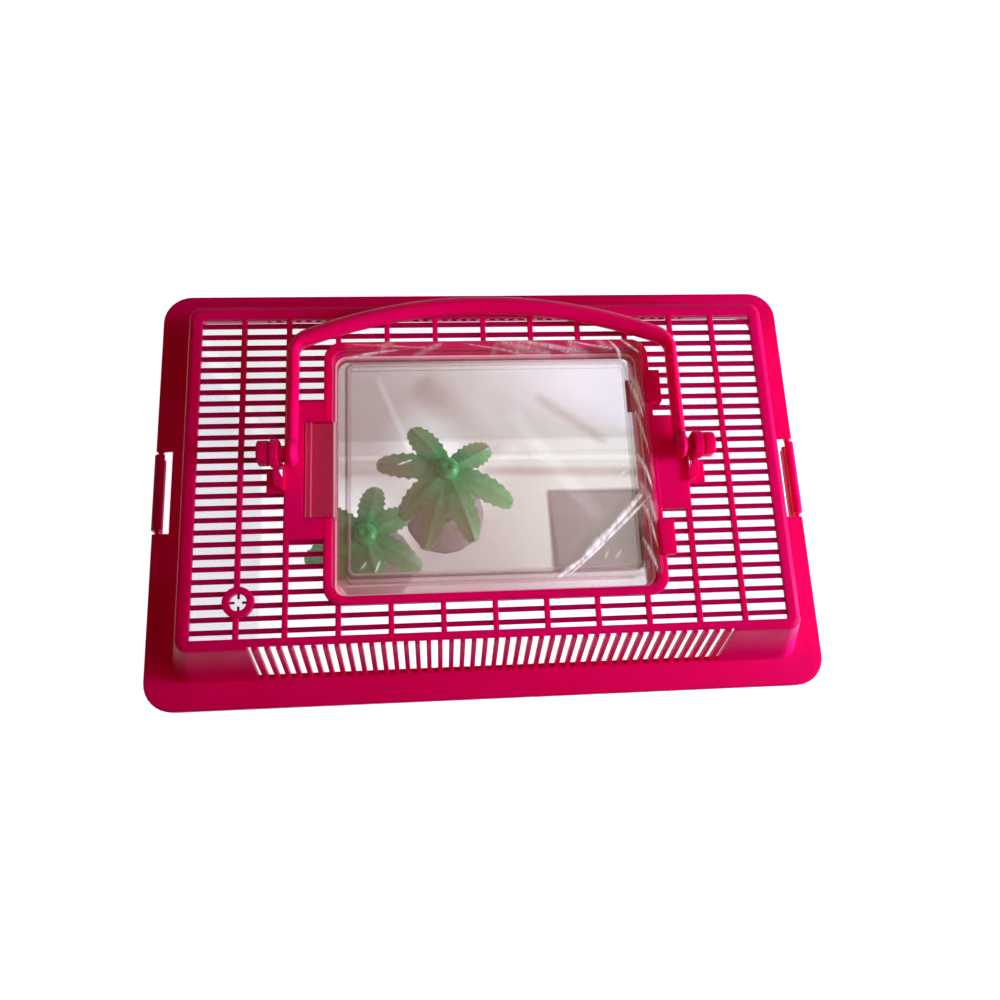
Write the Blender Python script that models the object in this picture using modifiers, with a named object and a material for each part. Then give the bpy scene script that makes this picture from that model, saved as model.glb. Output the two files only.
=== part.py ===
"""Plastic critter carrier: a clear tapered tank under a ventilated lid, with a clear hatch door,
a carrying handle, two side latches and two toy palm trees standing inside.

Metres, +Z up. The origin is under the middle of the tank's base, +X runs along the length
towards the hatch catches, and the handle lies folded back towards +Y.
"""
import math

import bmesh
import bpy
from mathutils import Matrix, Vector

# Fits between neighbouring pieces
SEAT_GAP = 0.0003        # between faces that rest on each other
RUN_GAP = 0.0004         # between a turning pin and its bore
SIDE_GAP = 0.0006        # between the tank's lip and the lid's skirt
OVERLAP = 0.0005         # how far a merged form sinks into the form it joins

# Lid
LID_LENGTH = 0.300
LID_WIDTH = 0.195
LID_CORNER = 0.013
LID_WALL = 0.002
DOME_RISE = 0.0307       # from the flange's top to the plate's top
SKIRT_DROP = 0.006       # from the flange's top to the skirt's lower edge
FLANGE_WIDTH = 0.012
FLANGE_ROUND = 0.0006
SLOPE_RUN_END = 0.008    # how far each end wall of the dome leans out
SLOPE_RUN_SIDE = 0.009   # how far the front and back walls lean out
SLOPE_FOOT_CORNER = 0.008
PLATE_CORNER = 0.0055
PLATE_ROUND = 0.0025

# Grille in the lid's plate
ROW_PITCH = 0.0052
ROW_SLOT = 0.0031
EDGE_ROW_SLOT = 0.0020   # the first and last rows are narrower
ROW_SHIFT = -0.0008      # the grille and hatch sit this far towards the front
GRILLE_SIDE_MARGIN = 0.0037
GRILLE_END_MARGIN = 0.005
COLUMN_PITCH = 0.0215    # of the inner columns; two narrower ones fill each end
INNER_COLUMNS = 4        # on each side of the middle
END_COLUMNS = 2
COLUMN_BAR = 0.0023
RIB_DROP = 0.0008        # the ribs between the slots lie this far below the bars

# Slots in the dome's walls
WALL_SLOT_PITCH = 0.00465
WALL_SLOT = 0.0027
WALL_EDGE_SLOT = 0.0016
SIDE_BANK_MARGIN = 0.030     # plain wall at each end of the front and back banks
END_BANK_MARGIN = 0.033      # plain wall at each end of the end banks
SIDE_SLOT_INSET = 0.0019     # the front bank starts this far in from the plate's edge
END_SLOT_TOP = 0.0035        # the back and end banks start this far below the plate
WALL_SLOT_FOOT = 0.0006      # and all of them stop this far above the flange

# Round hole for an air line
GROMMET_X = -0.1048
GROMMET_Y = -0.0565
GROMMET_RING = 0.0065
GROMMET_BORE = 0.0036
GROMMET_TOOTH_LENGTH = 0.0021
GROMMET_TOOTH_WIDTH = 0.0010
GROMMET_PROUD = 0.0005

# Hatch frame
HATCH_X = 0.0017
HATCH_HALF_X = 0.0687        # inside of the well
HATCH_HALF_Y = 0.0549
WELL_CORNER = 0.0060
WELL_DEPTH = 0.0073          # from the plate's top down to the ledge
RIM_WIDTH = 0.0036
RIM_PROUD = 0.0015
LEDGE_WIDTH = 0.0016
LEDGE_THICK = 0.0020
PAD_HALF_LEFT = 0.0307       # solid pads beside the hatch, along Y
PAD_HALF_RIGHT = 0.0215
PAD_DEPTH = 0.0045
CATCH_OFFSET = 0.0344        # from the hatch's middle line to each catch
CATCH_LENGTH = 0.0152
CATCH_WIDTH = 0.0063
CATCH_PROUD = 0.0040
CATCH_TAB = 0.0040           # support tabs under the door's edge

# Hatch door
DOOR_THICK = 0.0017
DOOR_SIDE_GAP = 0.00035
PANEL_MARGIN = 0.0052        # from the door's edge to its raised panel
PANEL_RISE = 0.0015
PANEL_CORNER = 0.0025
HINGE_X = -0.0770
HINGE_DROP = 0.0002          # hinge axis below the plate's top
HINGE_HALF = 0.0212
BARREL_RADIUS = 0.0016
PIN_RADIUS = 0.0009
PIN_LENGTH = 0.0020
TONGUE_THICK = 0.0012
RISER_THICK = 0.0015

# Handle and the lugs that carry it
PIVOT_Y = 0.0041
PIVOT_RISE = 0.0080          # pivot axis above the plate's top
HANDLE_HALF = 0.0855         # to the outside of each leg
LEG_WIDTH = 0.0051
HANDLE_THICK = 0.0058
ARCH_REACH = 0.0758          # outer edge at the middle, along Y
ARCH_RADIUS = 0.209
ARCH_WIDTH = 0.0076
ARCH_CORNER = 0.012
ARCH_INNER_CORNER = 0.0045
KNUCKLE_RADIUS = 0.0061
STUD_RADIUS = 0.0026
CAP_RADIUS = 0.0055
CAP_FLAT = 0.0046            # from the pivot to the cap's flat front
CAP_THICK = 0.0048
LUG_INNER = 0.0880
LUG_THICK = 0.0036
LUG_RADIUS = 0.0060
LUG_FRONT = 0.0005
LUG_BACK = 0.0095
WEB_RISE = 0.0030            # the curved web's top above the plate's top
WEB_LENGTH = 0.0058          # from the lug's front to the web's bend
FOOT_REACH = 0.0944          # solid stretch of grille in front of each lug, along X
FOOT_ROW_COUNT = 2           # rows of slots that it fills
FOOT_PROUD = 0.0004
FOOT_HOLE_SHORT = 0.0012     # the hole between web and pad, along its two sides
FOOT_HOLE_LONG = 0.0051
FOOT_HOLE_WALL = 0.0022      # web beside the hole

# Side latches
LATCH_OPENING = 0.039        # along Y
LATCH_SLOT_INNER = 0.0075    # inner edge of the opening, in from the flange's edge
ROD_INSET = 0.0021           # rod axis, in from the flange's edge
ROD_DROP = 0.0012            # rod axis, below the flange's top
ROD_RADIUS = 0.0010
LATCH_WALL = 0.0012
LATCH_END_GAP = 0.0018
LATCH_DROP = 0.0135          # from the rod's axis to the latch's foot
LATCH_HOOK_DROP = 0.0058     # from the rod's axis to the hook's upper face
LATCH_HOOK_THICK = 0.0022
LATCH_WRAP = 150.0           # degrees that the latch reaches over the rod

# Tank
TANK_HEIGHT = 0.167
TANK_WALL = 0.002
TANK_LIP_REACH = 0.003
TANK_LIP_DROP = 0.0035
TANK_TAPER = 0.0105          # each side leans in this much from rim to base
TANK_FLOOR = 0.0030
TANK_CORNER = 0.0080
TANK_BASE_ROUND = 0.0015
BASE_RING = 0.0080           # flat ring that the tank stands on
BASE_RECESS = 0.0010

# Palm trees
PALM_BASE_RADIUS = 0.0255
PALM_BASE_HEIGHT = 0.0075
PALM_BASE_RIM = 0.0020
PALM_BASE_SHOULDER = 0.0191
SOCKET_DEPTH = 0.0040
TRUNK_FOOT = 0.0056
TRUNK_TOP = 0.0040
TRUNK_RINGS = 6
TRUNK_RING_STEP = 0.0009
TRUNK_RING_SHARE = 0.75      # of each ring's height that narrows
PEG_RADIUS = 0.0028
PEG_LENGTH = 0.0050
HUB_RADIUS = 0.0064
HUB_HEIGHT = 0.0085
FROND_THICK = 0.0012
FROND_ROOT = 0.0040          # where a frond starts, from the trunk's axis
FROND_HALF = 0.0058
FROND_FOLD = 0.0022
FROND_NARROW = 0.26          # the narrowest part as a share of the widest
FROND_BLUNT = 0.8            # lower is blunter
FROND_ARCH = 0.35            # a leaf first rises by this share of its droop
HUB_SHOULDER = 0.6           # of the hub's radius and height
LEAF_LEVELS = (0.25, 0.37)   # of the hub's height, by turns

# Protective film on the door
FILM_THICK = 0.0003
FILM_LIFT = 0.0004
FILM_OVERHANG = 0.0003       # past the well's wall on the catch side
FILM_CREST = WELL_CORNER * (1 - math.sqrt(0.5)) + OVERLAP   # from the well's wall in to the film's crest
FILM_FRONT = 0.0500          # from the hatch's middle to the film's front edge
FILM_COLUMNS = 8
FILM_ROWS = 7

# Smoothness of round forms
CORNER_STEPS = 8
ROUND_SIDES = 16
SMALL_SIDES = 12
ARCH_STEPS = 14
TURN_STEPS = 12

# Levels and outlines that follow from the sizes above
FLANGE_UNDER = TANK_HEIGHT + SEAT_GAP
FLANGE_TOP = FLANGE_UNDER + LID_WALL
PLATE_TOP = FLANGE_TOP + DOME_RISE
SKIRT_FOOT = FLANGE_TOP - SKIRT_DROP
FOOT_HALF_X = LID_LENGTH / 2 - FLANGE_WIDTH
FOOT_HALF_Y = LID_WIDTH / 2 - FLANGE_WIDTH
PLATE_HALF_X = FOOT_HALF_X - SLOPE_RUN_END
PLATE_HALF_Y = FOOT_HALF_Y - SLOPE_RUN_SIDE
GRILLE_HALF_X = PLATE_HALF_X - GRILLE_END_MARGIN
GRILLE_HALF_Y = PLATE_HALF_Y - GRILLE_SIDE_MARGIN
LEDGE_TOP = PLATE_TOP - WELL_DEPTH
LEDGE_UNDER = LEDGE_TOP - LEDGE_THICK
RIM_TOP = PLATE_TOP + RIM_PROUD
WELL_LEFT = HATCH_X - HATCH_HALF_X
WELL_RIGHT = HATCH_X + HATCH_HALF_X
PAD_EDGE = INNER_COLUMNS * COLUMN_PITCH + COLUMN_BAR / 2
HINGE_Z = PLATE_TOP - HINGE_DROP
PIVOT_Z = PLATE_TOP + PIVOT_RISE
ROD_X = LID_LENGTH / 2 - ROD_INSET
ROD_Z = FLANGE_TOP - ROD_DROP
LIP_HALF_X = LID_LENGTH / 2 - LID_WALL - SIDE_GAP
LIP_HALF_Y = LID_WIDTH / 2 - LID_WALL - SIDE_GAP
DOOR_UNDER = LEDGE_TOP + SEAT_GAP
DOOR_TOP = DOOR_UNDER + DOOR_THICK
PANEL_TOP = DOOR_TOP + PANEL_RISE

# Colours and surfaces: name, colour, roughness, alpha
PINK = ("pink_plastic", (0.83, 0.004, 0.12), 0.28, 1.0)
CLEAR = ("clear_plastic", (0.93, 0.94, 0.95), 0.06, 0.3)
FILM = ("clear_film", (0.95, 0.95, 0.95), 0.12, 0.25)
LEAF = ("leaf_green", (0.07, 0.30, 0.08), 0.35, 1.0)
TRUNK = ("trunk_green", (0.04, 0.22, 0.06), 0.40, 1.0)
STONE = ("base_grey", (0.52, 0.49, 0.50), 0.45, 1.0)


def make_collection(name):
    """Make a collection in the scene."""
    collection = bpy.data.collections.new(name)
    bpy.context.scene.collection.children.link(collection)
    return collection


def clear_scene():
    """Remove every object of the opened scene."""
    for obj in list(bpy.data.objects):
        bpy.data.objects.remove(obj, do_unlink=True)


clear_scene()
PARTS = make_collection("critter_carrier")
CUTTERS = make_collection("cutters")


def make_material(spec):
    """Principled material from a name, a colour, a roughness and an alpha."""
    name, colour, roughness, alpha = spec
    material = bpy.data.materials.get(name)
    if material is None:
        material = bpy.data.materials.new(name)
        material.use_nodes = True
        shader = material.node_tree.nodes["Principled BSDF"]
        shader.inputs["Base Color"].default_value = (*colour, 1.0)
        shader.inputs["Roughness"].default_value = roughness
        shader.inputs["Metallic"].default_value = 0.0
        shader.inputs["Alpha"].default_value = alpha
    return material


def new_object(name, mesh, spec=None):
    """Put a mesh in the scene: a part when it has a material, else a cutter or a guide."""
    obj = bpy.data.objects.new(name, mesh)
    if spec is None:
        CUTTERS.objects.link(obj)
        obj.hide_render = True
        obj.display_type = "WIRE"
    else:
        PARTS.objects.link(obj)
        mesh.materials.append(make_material(spec))
    return obj


def finish_mesh(name, bm):
    """Turn a bmesh into a mesh with its faces pointing out."""
    bmesh.ops.recalc_face_normals(bm, faces=bm.faces[:])
    mesh = bpy.data.meshes.new(name)
    bm.to_mesh(mesh)
    bm.free()
    return mesh


def add_box(bm, low, high):
    """Add a box between two corners."""
    size = Vector(high) - Vector(low)
    centre = (Vector(high) + Vector(low)) / 2
    place = Matrix.Translation(centre) @ Matrix.Diagonal((*size, 1.0))
    bmesh.ops.create_cube(bm, size=1.0, matrix=place)


def box_group(name, boxes, spec=None):
    """One object of separate boxes, each given by two corners."""
    bm = bmesh.new()
    for low, high in boxes:
        add_box(bm, low, high)
    return new_object(name, finish_mesh(name, bm), spec)


def add_rod(bm, start, end, radius, sides=ROUND_SIDES):
    """Add a capped cylinder between two points."""
    start = Vector(start)
    axis = Vector(end) - start
    turn = axis.to_track_quat("Z", "Y").to_matrix().to_4x4()
    place = Matrix.Translation(start + axis / 2) @ turn @ Matrix.Rotation(math.pi / sides, 4, "Z")
    bmesh.ops.create_cone(
        bm, cap_ends=True, segments=sides, radius1=radius, radius2=radius, depth=axis.length, matrix=place
    )


def rod_group(name, rods, spec=None, sides=ROUND_SIDES):
    """One object of separate cylinders, each given by two end points and a radius."""
    bm = bmesh.new()
    for start, end, radius in rods:
        add_rod(bm, start, end, radius, sides)
    return new_object(name, finish_mesh(name, bm), spec)


def arc(centre, radius, start, end, steps):
    """Points along a circle's arc, angles in degrees."""
    points = []
    for step in range(steps + 1):
        angle = math.radians(start + (end - start) * step / steps)
        points.append((centre[0] + radius * math.cos(angle), centre[1] + radius * math.sin(angle)))
    return points


def rounded_rectangle(half_x, half_y, radius, centre=(0.0, 0.0)):
    """Outline of a rectangle with round corners, anticlockwise."""
    points = []
    for quarter, (side_x, side_y) in enumerate(((1, 1), (-1, 1), (-1, -1), (1, -1))):
        corner = (centre[0] + side_x * (half_x - radius), centre[1] + side_y * (half_y - radius))
        points += arc(corner, radius, 90 * quarter, 90 * quarter + 90, CORNER_STEPS)
    return points


def loft(name, sections, spec=None, centre=(0.0, 0.0)):
    """Closed solid through rounded rectangles, each (half_x, half_y, radius, z)."""
    bm = bmesh.new()
    rings = []
    for half_x, half_y, radius, z in sections:
        outline = rounded_rectangle(half_x, half_y, radius, centre)
        rings.append([bm.verts.new((x, y, z)) for x, y in outline])
    for lower, upper in zip(rings, rings[1:]):
        for index, vert in enumerate(lower):
            following = (index + 1) % len(lower)
            bm.faces.new((vert, lower[following], upper[following], upper[index]))
    bm.faces.new(list(reversed(rings[0])))
    bm.faces.new(rings[-1])
    return new_object(name, finish_mesh(name, bm), spec)


def extrude_outline(name, outline, depth, place, spec=None):
    """Solid of a flat outline, as thick as depth about its own plane, moved by a matrix."""
    curve = bpy.data.curves.new(name, "CURVE")
    curve.dimensions = "2D"
    curve.fill_mode = "BOTH"
    curve.extrude = depth / 2
    spline = curve.splines.new("POLY")
    spline.points.add(len(outline) - 1)
    for point, (x, y) in zip(spline.points, outline):
        point.co = (x, y, 0.0, 1.0)
    spline.use_cyclic_u = True
    guide = bpy.data.objects.new(name + "_outline", curve)
    CUTTERS.objects.link(guide)
    bpy.context.view_layer.update()
    mesh = bpy.data.meshes.new_from_object(guide.evaluated_get(bpy.context.evaluated_depsgraph_get()))
    bpy.data.objects.remove(guide)
    bm = bmesh.new()
    bm.from_mesh(mesh)
    bpy.data.meshes.remove(mesh)
    bmesh.ops.remove_doubles(bm, verts=bm.verts[:], dist=1e-6)
    bmesh.ops.transform(bm, matrix=place, verts=bm.verts[:])
    return new_object(name, finish_mesh(name, bm), spec)


def turned(name, profile, place, spec=None, steps=TURN_STEPS):
    """Solid of revolution: the profile runs from the axis at the top, down the outside, back to the axis."""
    mesh = bpy.data.meshes.new(name)
    edges = [(index, index + 1) for index in range(len(profile) - 1)]
    mesh.from_pydata([(radius, 0.0, z) for radius, z in profile], edges, [])
    obj = new_object(name, mesh, spec)
    obj.location = place
    screw = obj.modifiers.new("turn", "SCREW")
    screw.angle = math.tau
    screw.steps = steps
    screw.render_steps = steps
    screw.use_merge_vertices = True
    screw.merge_threshold = 1e-5
    screw.use_smooth_shade = False
    return obj


def combine(target, tool, operation):
    """Boolean of a part with a hidden tool."""
    modifier = target.modifiers.new(operation.lower() + "_" + tool.name, "BOOLEAN")
    modifier.operation = operation
    modifier.solver = "EXACT"
    modifier.object = tool


def cut(target, tool):
    combine(target, tool, "DIFFERENCE")


def join(target, tool):
    combine(target, tool, "UNION")


def set_origin(obj, point):
    """Move an object's origin to a point of the world and leave its shape where it is."""
    shift = Vector(point) - obj.location
    obj.data.transform(Matrix.Translation(-shift))
    obj.location = Vector(point)


def mirrored_box(x_near, x_far, y_low, y_high, z_low, z_high):
    """The same box on the right and, mirrored, on the left."""
    right = ((x_near, y_low, z_low), (x_far, y_high, z_high))
    left = ((-x_far, y_low, z_low), (-x_near, y_high, z_high))
    return [right, left]


# Lid

def grille_rows():
    """Low and high edge of each row of slots, along Y."""
    count = round(2 * GRILLE_HALF_Y / ROW_PITCH)
    rows = []
    for index in range(count):
        middle = ROW_SHIFT + (index - (count - 1) / 2) * ROW_PITCH
        low = middle - ROW_SLOT / 2
        high = middle + ROW_SLOT / 2
        if index == 0:
            low = high - EDGE_ROW_SLOT
        if index == count - 1:
            high = low + EDGE_ROW_SLOT
        rows.append((low, high))
    return rows


def grille_columns():
    """Low and high edge of each column of slots, along X."""
    inner = INNER_COLUMNS * COLUMN_PITCH
    end_pitch = (GRILLE_HALF_X - inner) / END_COLUMNS
    bars = [index * COLUMN_PITCH for index in range(INNER_COLUMNS + 1)]
    bars += [inner + end_pitch * (index + 1) for index in range(END_COLUMNS)]
    bars = [-x for x in reversed(bars[1:])] + bars
    return [(low + COLUMN_BAR / 2, high - COLUMN_BAR / 2) for low, high in zip(bars, bars[1:])]


def slot_bank(half_length):
    """Middle and half width of each upright slot in a bank that fits a half length."""
    count = int((2 * half_length - WALL_SLOT) / WALL_SLOT_PITCH) + 1
    bank = []
    for index in range(count):
        width = WALL_EDGE_SLOT if index in (0, count - 1) else WALL_SLOT
        bank.append(((index - (count - 1) / 2) * WALL_SLOT_PITCH, width / 2))
    return bank


def lid_slots():
    """All the ventilation slots and the two latch openings, as one tool of separate boxes."""
    boxes = []
    for y_low, y_high in grille_rows():
        for x_low, x_high in grille_columns():
            boxes.append(((x_low, y_low, PLATE_TOP - 2 * LID_WALL), (x_high, y_high, PLATE_TOP + LID_WALL)))
    foot = FLANGE_TOP + WALL_SLOT_FOOT
    near = PLATE_HALF_Y - SIDE_SLOT_INSET
    inner = PLATE_HALF_Y - 2 * LID_WALL
    far = FOOT_HALF_Y + LID_WALL
    for middle, half in slot_bank(PLATE_HALF_X - SIDE_BANK_MARGIN + WALL_SLOT):
        x_low = middle - half
        x_high = middle + half
        boxes.append(((x_low, inner, foot), (x_high, far, PLATE_TOP - END_SLOT_TOP)))
        boxes.append(((x_low, -far, foot), (x_high, -near, PLATE_TOP + LID_WALL)))
    near = PLATE_HALF_X - 2 * LID_WALL
    far = FOOT_HALF_X + LID_WALL
    for middle, half in slot_bank(PLATE_HALF_Y - END_BANK_MARGIN):
        boxes += mirrored_box(near, far, middle - half, middle + half, foot, PLATE_TOP - END_SLOT_TOP)
    opening = LATCH_OPENING / 2
    inner = LID_LENGTH / 2 - LATCH_SLOT_INNER
    outer = LID_LENGTH / 2 + LID_WALL
    boxes += mirrored_box(
        inner, outer, -opening, opening, SKIRT_FOOT - LID_WALL, FLANGE_TOP + WALL_SLOT_FOOT / 2
    )
    return box_group("lid_slots", boxes)


def rib_channels():
    """Shallow channels between the bars, which leave the ribs below them."""
    rows = grille_rows()
    low = rows[0][0]
    high = rows[-1][1]
    return box_group("rib_channels", [
        ((x_low, low, PLATE_TOP - RIB_DROP), (x_high, high, PLATE_TOP + LID_WALL))
        for x_low, x_high in grille_columns()
    ])


def inner_half(foot_half, run, level):
    """Half size of the dome's hollow at a level, one wall in from the leaning outer face."""
    lean = run / (DOME_RISE - PLATE_ROUND)
    return foot_half - lean * (level - FLANGE_TOP) - LID_WALL * math.hypot(1.0, lean)


def lid_dome():
    """Outer form of the lid, hollowed by its inner form."""
    half_x = LID_LENGTH / 2
    half_y = LID_WIDTH / 2
    edge = arc((-PLATE_ROUND, -PLATE_ROUND), PLATE_ROUND, 0, 90, 2)
    lid = loft("lid_shell", [
        (half_x, half_y, LID_CORNER, SKIRT_FOOT),
        (half_x, half_y, LID_CORNER, FLANGE_TOP - FLANGE_ROUND),
        (half_x - FLANGE_ROUND, half_y - FLANGE_ROUND, LID_CORNER - FLANGE_ROUND, FLANGE_TOP),
        (FOOT_HALF_X, FOOT_HALF_Y, SLOPE_FOOT_CORNER, FLANGE_TOP),
    ] + [
        (PLATE_HALF_X + shift, PLATE_HALF_Y + shift, PLATE_CORNER + shift / 2, PLATE_TOP + drop)
        for shift, drop in edge
    ], PINK)
    ceiling = PLATE_TOP - LID_WALL
    hollow = loft("lid_hollow", [
        (half_x - LID_WALL, half_y - LID_WALL, LID_CORNER - LID_WALL, SKIRT_FOOT - LID_WALL),
        (half_x - LID_WALL, half_y - LID_WALL, LID_CORNER - LID_WALL, FLANGE_UNDER),
    ] + [
        (inner_half(FOOT_HALF_X, SLOPE_RUN_END, level), inner_half(FOOT_HALF_Y, SLOPE_RUN_SIDE, level),
         corner, level)
        for corner, level in ((SLOPE_FOOT_CORNER - LID_WALL / 2, FLANGE_UNDER), (PLATE_CORNER - LID_WALL, ceiling))
    ])
    cut(lid, hollow)
    return lid


def hatch_frame(lid):
    """Raised rim, sunk well and solid pads that surround the hatch."""
    centre = (HATCH_X, ROW_SHIFT)
    rim_x = HATCH_HALF_X + RIM_WIDTH
    rim_y = HATCH_HALF_Y + RIM_WIDTH
    rim_corner = WELL_CORNER + RIM_WIDTH / 2
    rim = loft("hatch_rim", [
        (rim_x, rim_y, rim_corner, PLATE_TOP - LID_WALL - OVERLAP),
        (rim_x, rim_y, rim_corner, RIM_TOP - OVERLAP),
        (rim_x - OVERLAP, rim_y - OVERLAP, rim_corner - OVERLAP, RIM_TOP),
    ], centre=centre)
    join(lid, rim)
    well_x = HATCH_HALF_X + LID_WALL
    well_y = HATCH_HALF_Y + LID_WALL
    well = loft("hatch_well", [
        (well_x, well_y, WELL_CORNER + LID_WALL, LEDGE_UNDER),
        (well_x, well_y, WELL_CORNER + LID_WALL, PLATE_TOP - OVERLAP),
    ], centre=centre)
    join(lid, well)
    low = PLATE_TOP - PAD_DEPTH
    high = RIM_TOP - OVERLAP / 2
    left = ROW_SHIFT - PAD_HALF_LEFT, ROW_SHIFT + PAD_HALF_LEFT
    right = ROW_SHIFT - PAD_HALF_RIGHT, ROW_SHIFT + PAD_HALF_RIGHT
    edge = PAD_EDGE - OVERLAP / 5
    pads = box_group("hatch_pads", [
        ((-edge, left[0], low), (WELL_LEFT - RIM_WIDTH / 2, left[1], high)),
        ((WELL_RIGHT + RIM_WIDTH / 2, right[0], low), (edge, right[1], high)),
    ])
    join(lid, pads)


def catch_spans():
    """Low and high edge of each catch, along Y."""
    half = CATCH_LENGTH / 2
    return [(ROW_SHIFT + side * CATCH_OFFSET - half, ROW_SHIFT + side * CATCH_OFFSET + half) for side in (-1, 1)]


def hatch_catches(lid):
    """Two catch blocks on the rim, opposite the hinge."""
    near = WELL_RIGHT + 2 * OVERLAP
    blocks = [
        ((near, low, PLATE_TOP - LID_WALL - 2 * OVERLAP), (near + CATCH_WIDTH, high, PLATE_TOP + CATCH_PROUD))
        for low, high in catch_spans()
    ]
    join(lid, box_group("catch_blocks", blocks))


def hatch_opening(lid):
    """Cut the well, the hole under it, and the hinge's recess and pin bores."""
    centre = (HATCH_X, ROW_SHIFT)
    well = loft("well_cut", [
        (HATCH_HALF_X, HATCH_HALF_Y, WELL_CORNER, LEDGE_TOP),
        (HATCH_HALF_X, HATCH_HALF_Y, WELL_CORNER, RIM_TOP + CATCH_PROUD),
    ], centre=centre)
    cut(lid, well)
    hole_x = HATCH_HALF_X - LEDGE_WIDTH
    hole_y = HATCH_HALF_Y - LEDGE_WIDTH
    hole = loft("hole_cut", [
        (hole_x, hole_y, WELL_CORNER - LEDGE_WIDTH / 2, LEDGE_UNDER - LID_WALL),
        (hole_x, hole_y, WELL_CORNER - LEDGE_WIDTH / 2, LEDGE_TOP + LID_WALL),
    ], centre=centre)
    cut(lid, hole)
    recess_half = HINGE_HALF + SEAT_GAP
    recess = box_group("tongue_recess", [(
        (HINGE_X - BARREL_RADIUS - RUN_GAP, ROW_SHIFT - recess_half, HINGE_Z - BARREL_RADIUS - RUN_GAP),
        (WELL_LEFT + OVERLAP, ROW_SHIFT + recess_half, RIM_TOP + LID_WALL),
    )])
    cut(lid, recess)
    reach = HINGE_HALF + PIN_LENGTH + RUN_GAP
    bore = rod_group("pin_bores", [(
        (HINGE_X, ROW_SHIFT - reach, HINGE_Z), (HINGE_X, ROW_SHIFT + reach, HINGE_Z), PIN_RADIUS + RUN_GAP
    )], sides=SMALL_SIDES)
    cut(lid, bore)
    tabs = [
        ((WELL_RIGHT - LEDGE_WIDTH - CATCH_TAB, low, LEDGE_UNDER + OVERLAP / 2),
         (WELL_RIGHT + OVERLAP, high, LEDGE_TOP - OVERLAP / 5))
        for low, high in catch_spans()
    ]
    join(lid, box_group("catch_tabs", tabs))


def web_outline():
    """Plan of the curved web that ties a right-hand lug to its pad."""
    near = PAD_EDGE - OVERLAP
    far = LUG_INNER + LUG_THICK - OVERLAP / 5
    back = LUG_FRONT + OVERLAP
    return [(near, back), (far, back)] + arc((near, LUG_FRONT - WEB_LENGTH), far - near, 0, -90, CORNER_STEPS)


def foot_hole_outline():
    """Plan of the hole between a right-hand web and its pad."""
    near = PAD_EDGE + OVERLAP / 2
    far = LUG_INNER + LUG_THICK - FOOT_HOLE_WALL
    back = LUG_FRONT - OVERLAP / 5
    return [(near, back), (near, back - FOOT_HOLE_LONG), (far, back - FOOT_HOLE_SHORT), (far, back)]


def lug_prism(name, outline, side, low, high):
    """Upright solid of a right-hand outline, mirrored for the left side."""
    place = Matrix.Translation((0.0, 0.0, (low + high) / 2))
    return extrude_outline(name, [(side * x, y) for x, y in outline], high - low, place)


def lug_feet(lid):
    """Solid stretch of grille in front of each lug, the curved web on it and the hole beside the web."""
    low = PLATE_TOP - LID_WALL - OVERLAP / 2
    rows = [row for row in grille_rows() if row[1] < LUG_FRONT]
    filled = [rows[-1 - index] for index in range(FOOT_ROW_COUNT)]
    margin = (ROW_PITCH - ROW_SLOT) / 2
    feet = mirrored_box(PAD_EDGE - OVERLAP, FOOT_REACH, filled[-1][0] - margin, filled[0][1] + margin,
                        low - OVERLAP / 4, PLATE_TOP + FOOT_PROUD)
    join(lid, box_group("lug_feet", feet))
    for side, word in ((1, "right"), (-1, "left")):
        join(lid, lug_prism("lug_web_" + word, web_outline(), side, low, PLATE_TOP + WEB_RISE))
        cut(lid, lug_prism("foot_hole_" + word, foot_hole_outline(), side, low - LID_WALL,
                           PLATE_TOP + WEB_RISE + LID_WALL))


def handle_lugs(lid):
    """Two lugs outside the pads, with round heads and bores for the handle's studs."""
    outer = LUG_INNER + LUG_THICK
    low = PLATE_TOP - LID_WALL - OVERLAP
    walls = mirrored_box(LUG_INNER, outer, LUG_FRONT, LUG_BACK, low, PIVOT_Z)
    join(lid, box_group("lug_walls", walls))
    heads = []
    bores = []
    for side in (-1, 1):
        near = (side * (LUG_INNER + OVERLAP / 4), PIVOT_Y, PIVOT_Z)
        far = (side * (outer - OVERLAP / 4), PIVOT_Y, PIVOT_Z)
        heads.append((near, far, LUG_RADIUS))
        start = (side * (LUG_INNER - LID_WALL / 2), PIVOT_Y, PIVOT_Z)
        end = (side * (outer + LID_WALL / 2), PIVOT_Y, PIVOT_Z)
        bores.append((start, end, STUD_RADIUS + RUN_GAP))
    join(lid, rod_group("lug_heads", heads))
    lug_feet(lid)
    cut(lid, rod_group("lug_bores", bores))


def air_line_hole(lid):
    """Ring, bore and four teeth of the round hole in the grille."""
    low = PLATE_TOP - LID_WALL - GROMMET_PROUD
    high = PLATE_TOP + GROMMET_PROUD
    place = (GROMMET_X, GROMMET_Y)
    join(lid, rod_group("grommet_ring", [((*place, low), (*place, high), GROMMET_RING)]))
    bore = ((*place, low - LID_WALL), (*place, high + LID_WALL), GROMMET_BORE)
    cut(lid, rod_group("grommet_bore", [bore]))
    half = GROMMET_TOOTH_WIDTH / 2
    far = GROMMET_BORE + OVERLAP
    near = GROMMET_BORE - GROMMET_TOOTH_LENGTH
    low = PLATE_TOP - LID_WALL
    high = PLATE_TOP - LID_WALL / 2
    x, y = place
    teeth = [
        ((x + near, y - half, low), (x + far, y + half, high)),
        ((x - far, y - half, low), (x - near, y + half, high)),
        ((x - half, y + near, low), (x + half, y + far, high)),
        ((x - half, y - far, low), (x + half, y - near, high)),
    ]
    join(lid, box_group("grommet_teeth", teeth))


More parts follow.
